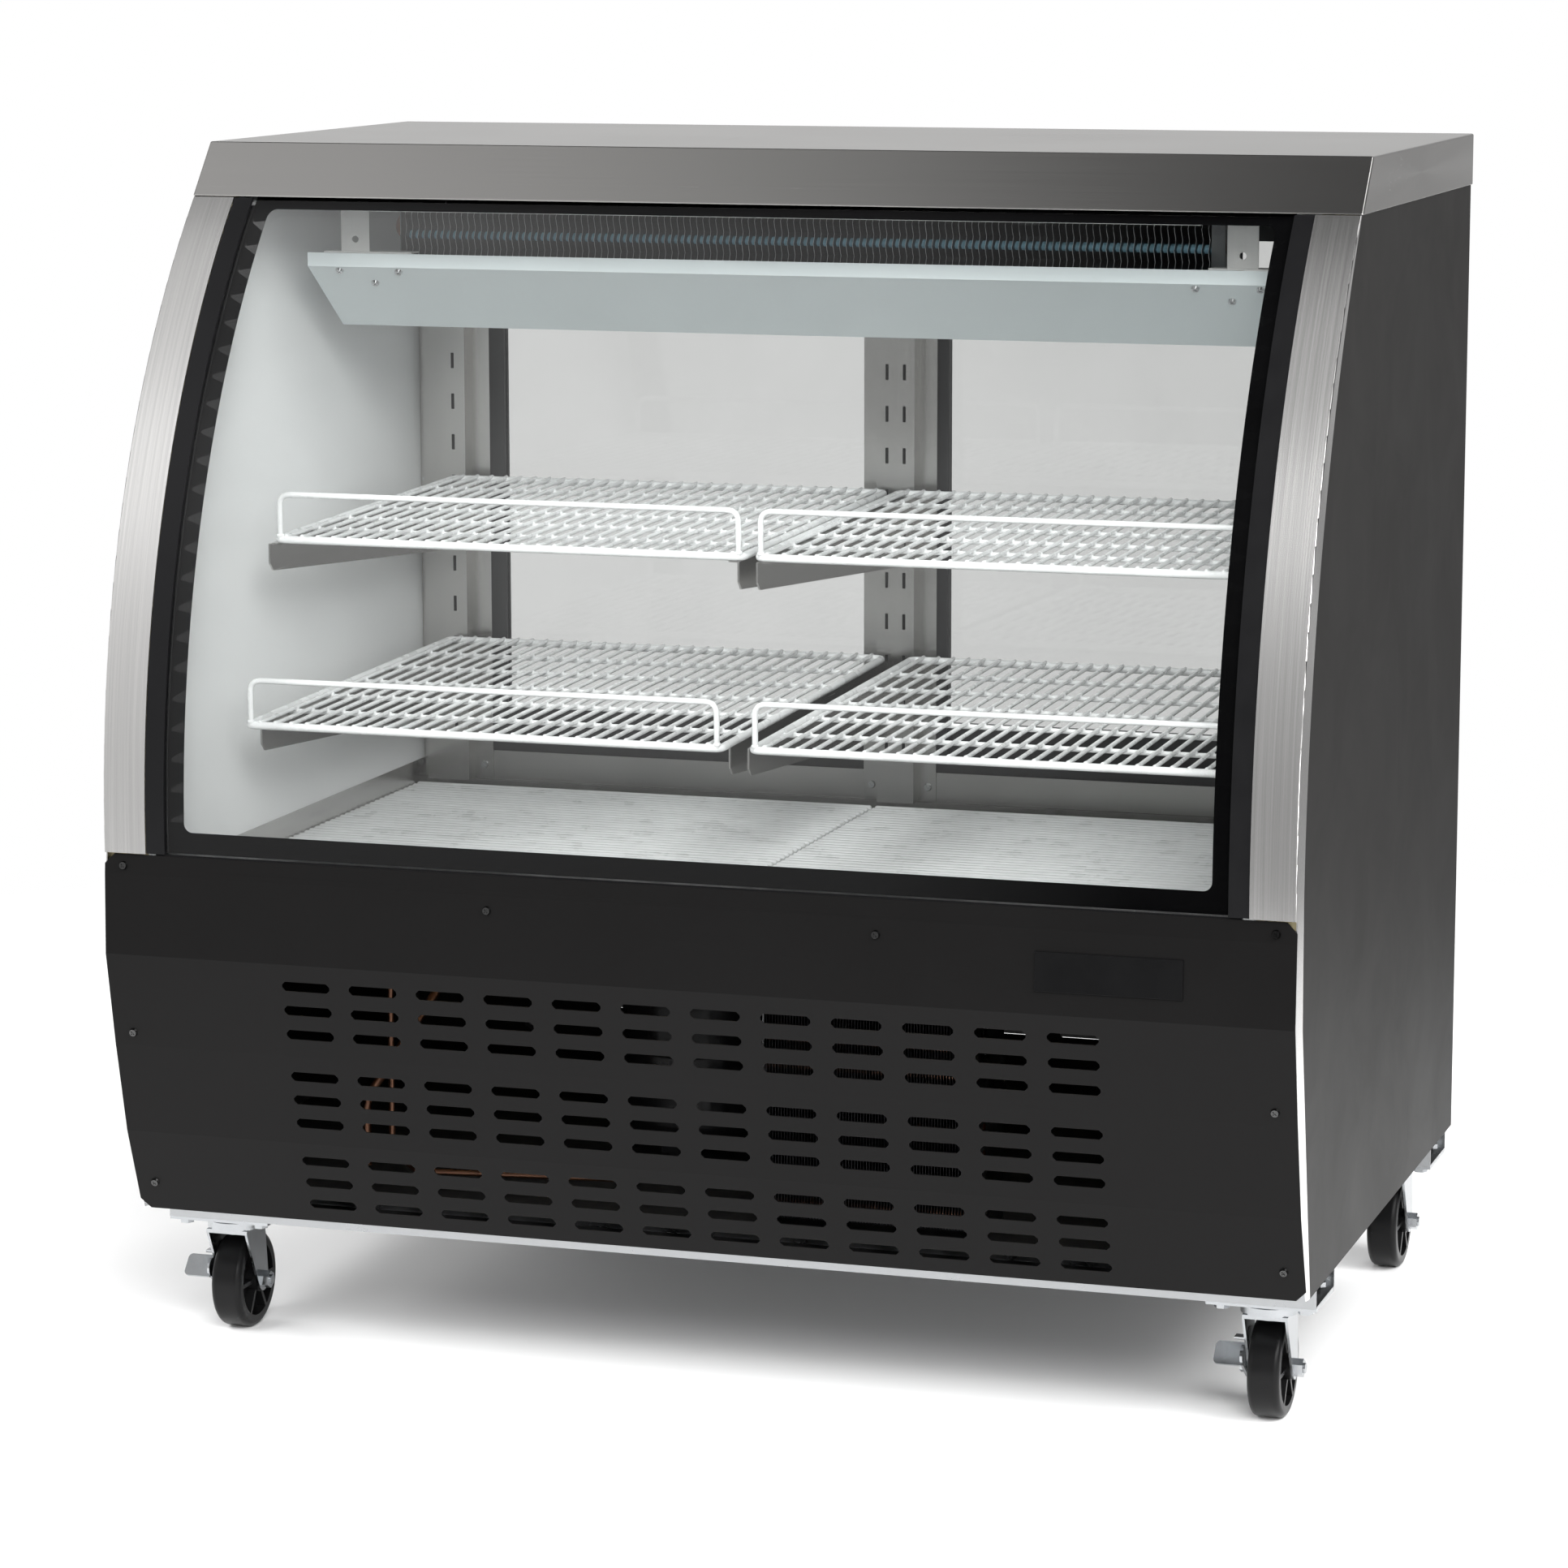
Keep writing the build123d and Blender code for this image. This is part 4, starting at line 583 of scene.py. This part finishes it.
def evaporator():
    """The wavy fins, pipes, end plates and return bends of the ceiling coil."""
    node = "evaporator_coil"
    low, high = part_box(node)
    (left, right), (front, back) = COIL_X, COIL_Y
    heights = (low.z + 0.001, COIL_FIN_TOP)
    pitch = (right - left) / COIL_FINS
    xs = [left + pitch * (step + 0.5) for step in range(COIL_FINS)]
    # The fin faces are dark (painted shade) and their front edges light (painted highlight)
    sheets = bmesh.new()
    fins(sheets, xs, (front + 0.0003, back), heights, 0.00025, FIN_WAVE)
    piece("evaporator_fins", sheets, "fin_sheet_shade", node, smooth=False)
    edges = bmesh.new()
    fins(edges, xs, (front, front + 0.0004), heights, 0.00036, FIN_WAVE)
    piece("evaporator_fin_edges", edges, "fin_edge_highlight", node, smooth=False)
    pipes, bends = bmesh.new(), bmesh.new()
    for y, z in COIL_ROWS:
        ends = [Vector((left - END_PLATE[0], y, z)), Vector((right + END_PLATE[1], y, z))]
        tube(pipes, ends, COIL_PIPE, 16)
    for (y, z), (next_y, next_z) in (COIL_ROWS[:2], COIL_ROWS[2:]):
        for x, way in ((left - 0.0013, -1), (right + 0.0141, 1)):
            bend(bends, Vector((x, y, z)), Vector((x, next_y, next_z)), way * BEND_REACH, BEND_PIPE)
    # The pipes' light blue is partly coating and partly a painted highlight band
    piece("evaporator_pipes", pipes, "coil_tube_blue_highlight", node)
    piece("evaporator_bends", bends, "copper", node)
    plates = bmesh.new()
    bar(plates, (left - END_PLATE[0], front - 0.005, low.z), (left, back + 0.005, high.z))
    bar(plates, (right, front - 0.005, low.z), (right + END_PLATE[1], back + 0.005, high.z))
    bmesh.ops.bevel(plates, geom=plates.edges[:], offset=0.0004, segments=2, affect="EDGES")
    piece("evaporator_plates", plates, "galvanised", node, smooth=False)


CONDENSER_FINS, CONDENSER_ROWS = 70, 8
CONDENSER_FIN_Z = (0.180, 0.400)
CONDENSER_PIPE, CONDENSER_PIPE_Z, CONDENSER_PITCH_Z = 0.0048, 0.195, 0.0272
CONDENSER_PLATE = 0.0015


def condenser():
    """The close flat fins, pipes and end plates of the coil behind the grille."""
    node = "condenser_coil"
    low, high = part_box(node)
    sheets, pipes, plates = bmesh.new(), bmesh.new(), bmesh.new()
    inner = (low.x + CONDENSER_PLATE, high.x - CONDENSER_PLATE)
    pitch = (inner[1] - inner[0]) / CONDENSER_FINS
    xs = [inner[0] + pitch * (step + 0.5) for step in range(CONDENSER_FINS)]
    fins(sheets, xs, (low.y + 0.004, high.y), CONDENSER_FIN_Z, 0.0003)
    for row in range(CONDENSER_ROWS):
        z = CONDENSER_PIPE_Z + row * CONDENSER_PITCH_Z
        for y in (low.y + 0.016, high.y - 0.012):
            tube(pipes, [Vector((inner[0], y, z)), Vector((inner[1], y, z))], CONDENSER_PIPE, 12)
    for edge in (low.x, inner[1]):
        bar(plates, (edge, low.y, low.z), (edge + CONDENSER_PLATE, high.y, high.z))
    bmesh.ops.bevel(plates, geom=plates.edges[:], offset=0.0004, segments=2, affect="EDGES")
    # The fins' dark colour is painted shade behind the grille
    piece("condenser_fins", sheets, "fin_dark_shade", node, smooth=False)
    piece("condenser_pipes", pipes, "copper", node)
    piece("condenser_plates", plates, "galvanised", node, smooth=False)


evaporator()
condenser()
for shelf in ("upper_left", "upper_right", "lower_left", "lower_right"):
    wire_shelf(f"shelf_{shelf}")
for rack in ("left", "right"):
    floor_rack(f"floor_rack_{rack}")

# ---------------------------------------------------------------- camera, lights and floor
scene = bpy.context.scene
scene.view_settings.view_transform = "Standard"

camera = bpy.data.objects.new("camera", bpy.data.cameras.new("camera"))
scene.collection.objects.link(camera)
camera.location = (1.5445, -4.9042, 1.4376)
camera.rotation_euler = (radians(80.303), radians(0.086), radians(17.745))
camera.data.lens = 116.5  # millimetres
camera.data.sensor_width = 36.0
scene.camera = camera


def soft_light(name, spot, aim, size, power):
    """A square soft box that lights surfaces but isn't mirrored in them."""
    data = bpy.data.lights.new(name, "AREA")
    data.shape = "SQUARE"
    data.size = size
    data.energy = power
    lamp = bpy.data.objects.new(name, data)
    scene.collection.objects.link(lamp)
    lamp.location = spot
    lamp.rotation_euler = (Vector(aim) - Vector(spot)).to_track_quat("-Z", "Y").to_euler()
    lamp.visible_glossy = False


# Name, place, aim, side in metres and power in watts.
LIGHTS = [
    ("key", (-2.6, -4.0, 4.4), (0, 0, 0.6), 2.4, 235),
    ("fill", (4.0, -1.8, 3.8), (0, 0, 0.6), 2.4, 215),
    ("front", (1.9, -4.6, 3.3), (-0.3, 0, 0.9), 2.0, 210),
    ("low", (1.3, -5.4, 1.3), (-0.2, 0, 1.0), 1.6, 90),
    ("back", (0.5, 4.2, 3.8), (0, 0, 0.8), 2.6, 170),
    ("rear_left", (-4.4, 2.2, 2.2), (0, 0, 0.6), 2.0, 110),
]
for light in LIGHTS:
    soft_light(*light)


# Light from the front right, the front left and from behind, by how far up and how far right it comes from.
RIGHT_RISE = [
    (0.0, 0.39), (0.12, 0.42), (0.28, 0.5), (0.44, 1.6), (0.62, 3.3), (0.68, 3.1), (0.73, 0.9), (0.79, 0.9),
    (0.83, 2.0), (0.89, 1.5), (0.93, 0.5), (1.0, 0.35),
]
RIGHT_SIDE = [(-1.0, 0.01), (0.20, 0.01), (0.34, 2.3), (1.0, 2.0)]
LEFT_RISE = [
    (0.0, 0.72), (0.3, 0.85), (0.5, 1.05), (0.66, 1.0), (0.8, 0.7), (0.9, 0.68), (0.94, 0.4), (1.0, 0.1),
]
LEFT_SIDE = [(-1.0, 1.0), (-0.4, 1.0), (-0.285, 0.8), (-0.235, 0.03), (1.0, 0.02)]
BACK_RISE = [(0.0, 1.1), (0.3, 0.7), (0.7, 0.10), (1.0, 0.03)]
BACK_SIDES = [(-1.0, 1.0), (0.0, 0.85), (0.2, 0.24), (1.0, 0.24)]
# How much of a direction counts as behind, by how far back it points.
BEHIND = [(-1.0, 0.0), (-0.16, 0.0), (0.02, 1.0), (1.0, 1.0)]


def studio_world():
    """A pale studio: white where the camera looks past the floor, and mirrored soft boxes elsewhere."""
    world = bpy.data.worlds.new("studio")
    scene.world = world
    world.use_nodes = True
    nodes, links = world.node_tree.nodes, world.node_tree.links
    nodes.clear()
    place = nodes.new("ShaderNodeTexCoord")
    split = nodes.new("ShaderNodeSeparateXYZ")
    links.new(place.outputs["Generated"], split.inputs["Vector"])

    def graded(axis, low, high, stops):
        """Levels along one axis of the direction."""
        place_on = nodes.new("ShaderNodeMapRange")
        place_on.inputs["From Min"].default_value = low
        place_on.inputs["From Max"].default_value = high
        links.new(split.outputs[axis], place_on.inputs["Value"])
        ramp = nodes.new("ShaderNodeValToRGB")
        links.new(place_on.outputs["Result"], ramp.inputs["Fac"])
        levels = ramp.color_ramp.elements
        while len(levels) < len(stops):
            levels.new(0.5)
        for level, (value, light) in zip(levels, stops):
            level.position = (value - low) / (high - low)
            level.color = (light, light, light, 1.0)
        return ramp.outputs["Color"]

    def joined(operation, first, second):
        node = nodes.new("ShaderNodeMath")
        node.operation = operation
        links.new(first, node.inputs[0])
        links.new(second, node.inputs[1])
        return node.outputs["Value"]

    def lit(rise, sides):
        """Light of one soft box, by height and by side."""
        return joined("MULTIPLY", graded("Z", 0.0, 1.0, rise), graded("X", -1.0, 1.0, sides))

    right = lit(RIGHT_RISE, RIGHT_SIDE)
    left = lit(LEFT_RISE, LEFT_SIDE)
    behind = lit(BACK_RISE, BACK_SIDES)
    facing = graded("Y", -1.0, 1.0, BEHIND)
    blend = nodes.new("ShaderNodeMix")
    links.new(facing, blend.inputs["Factor"])
    links.new(joined("ADD", right, left), blend.inputs[2])
    links.new(behind, blend.inputs[3])
    soft = nodes.new("ShaderNodeBackground")
    links.new(blend.outputs[0], soft.inputs["Color"])
    white = nodes.new("ShaderNodeBackground")
    white.inputs["Color"].default_value = (1.0, 1.0, 1.0, 1.0)
    rays = nodes.new("ShaderNodeLightPath")
    mix = nodes.new("ShaderNodeMixShader")
    links.new(rays.outputs["Is Camera Ray"], mix.inputs["Fac"])
    links.new(soft.outputs["Background"], mix.inputs[1])
    links.new(white.outputs["Background"], mix.inputs[2])
    out = nodes.new("ShaderNodeOutputWorld")
    links.new(mix.outputs["Shader"], out.inputs["Surface"])


FLOOR_RADIUS = 9.0
FLOOR_FADE = (1.15, 2.6)  # distances from the middle where the floor starts to fade and where it is gone


def pale_floor():
    """A round pale floor that fades into the white surroundings."""
    mesh = bmesh.new()
    bmesh.ops.create_circle(mesh, cap_ends=True, segments=96, radius=FLOOR_RADIUS)
    data = bpy.data.meshes.new("floor")
    mesh.to_mesh(data)
    mesh.free()
    floor = bpy.data.objects.new("floor", data)
    scene.collection.objects.link(floor)
    look = Finish("floor", Roughness=0.75)
    look.shader.inputs["Base Color"].default_value = (0.80, 0.80, 0.80, 1.0)
    distance = look.add("ShaderNodeVectorMath", operation="LENGTH")
    look.link(look.place, distance.inputs[0])
    clear = look.add("ShaderNodeBsdfTransparent")
    mix = look.add("ShaderNodeMixShader")
    look.link(look.spread(distance.outputs["Value"], 0.0, 1.0, *FLOOR_FADE), mix.inputs["Fac"])
    look.link(look.shader.outputs["BSDF"], mix.inputs[1])
    look.link(clear.outputs["BSDF"], mix.inputs[2])
    look.link(mix.outputs["Shader"], look.output.inputs["Surface"])
    data.materials.append(look.material)


studio_world()
pale_floor()
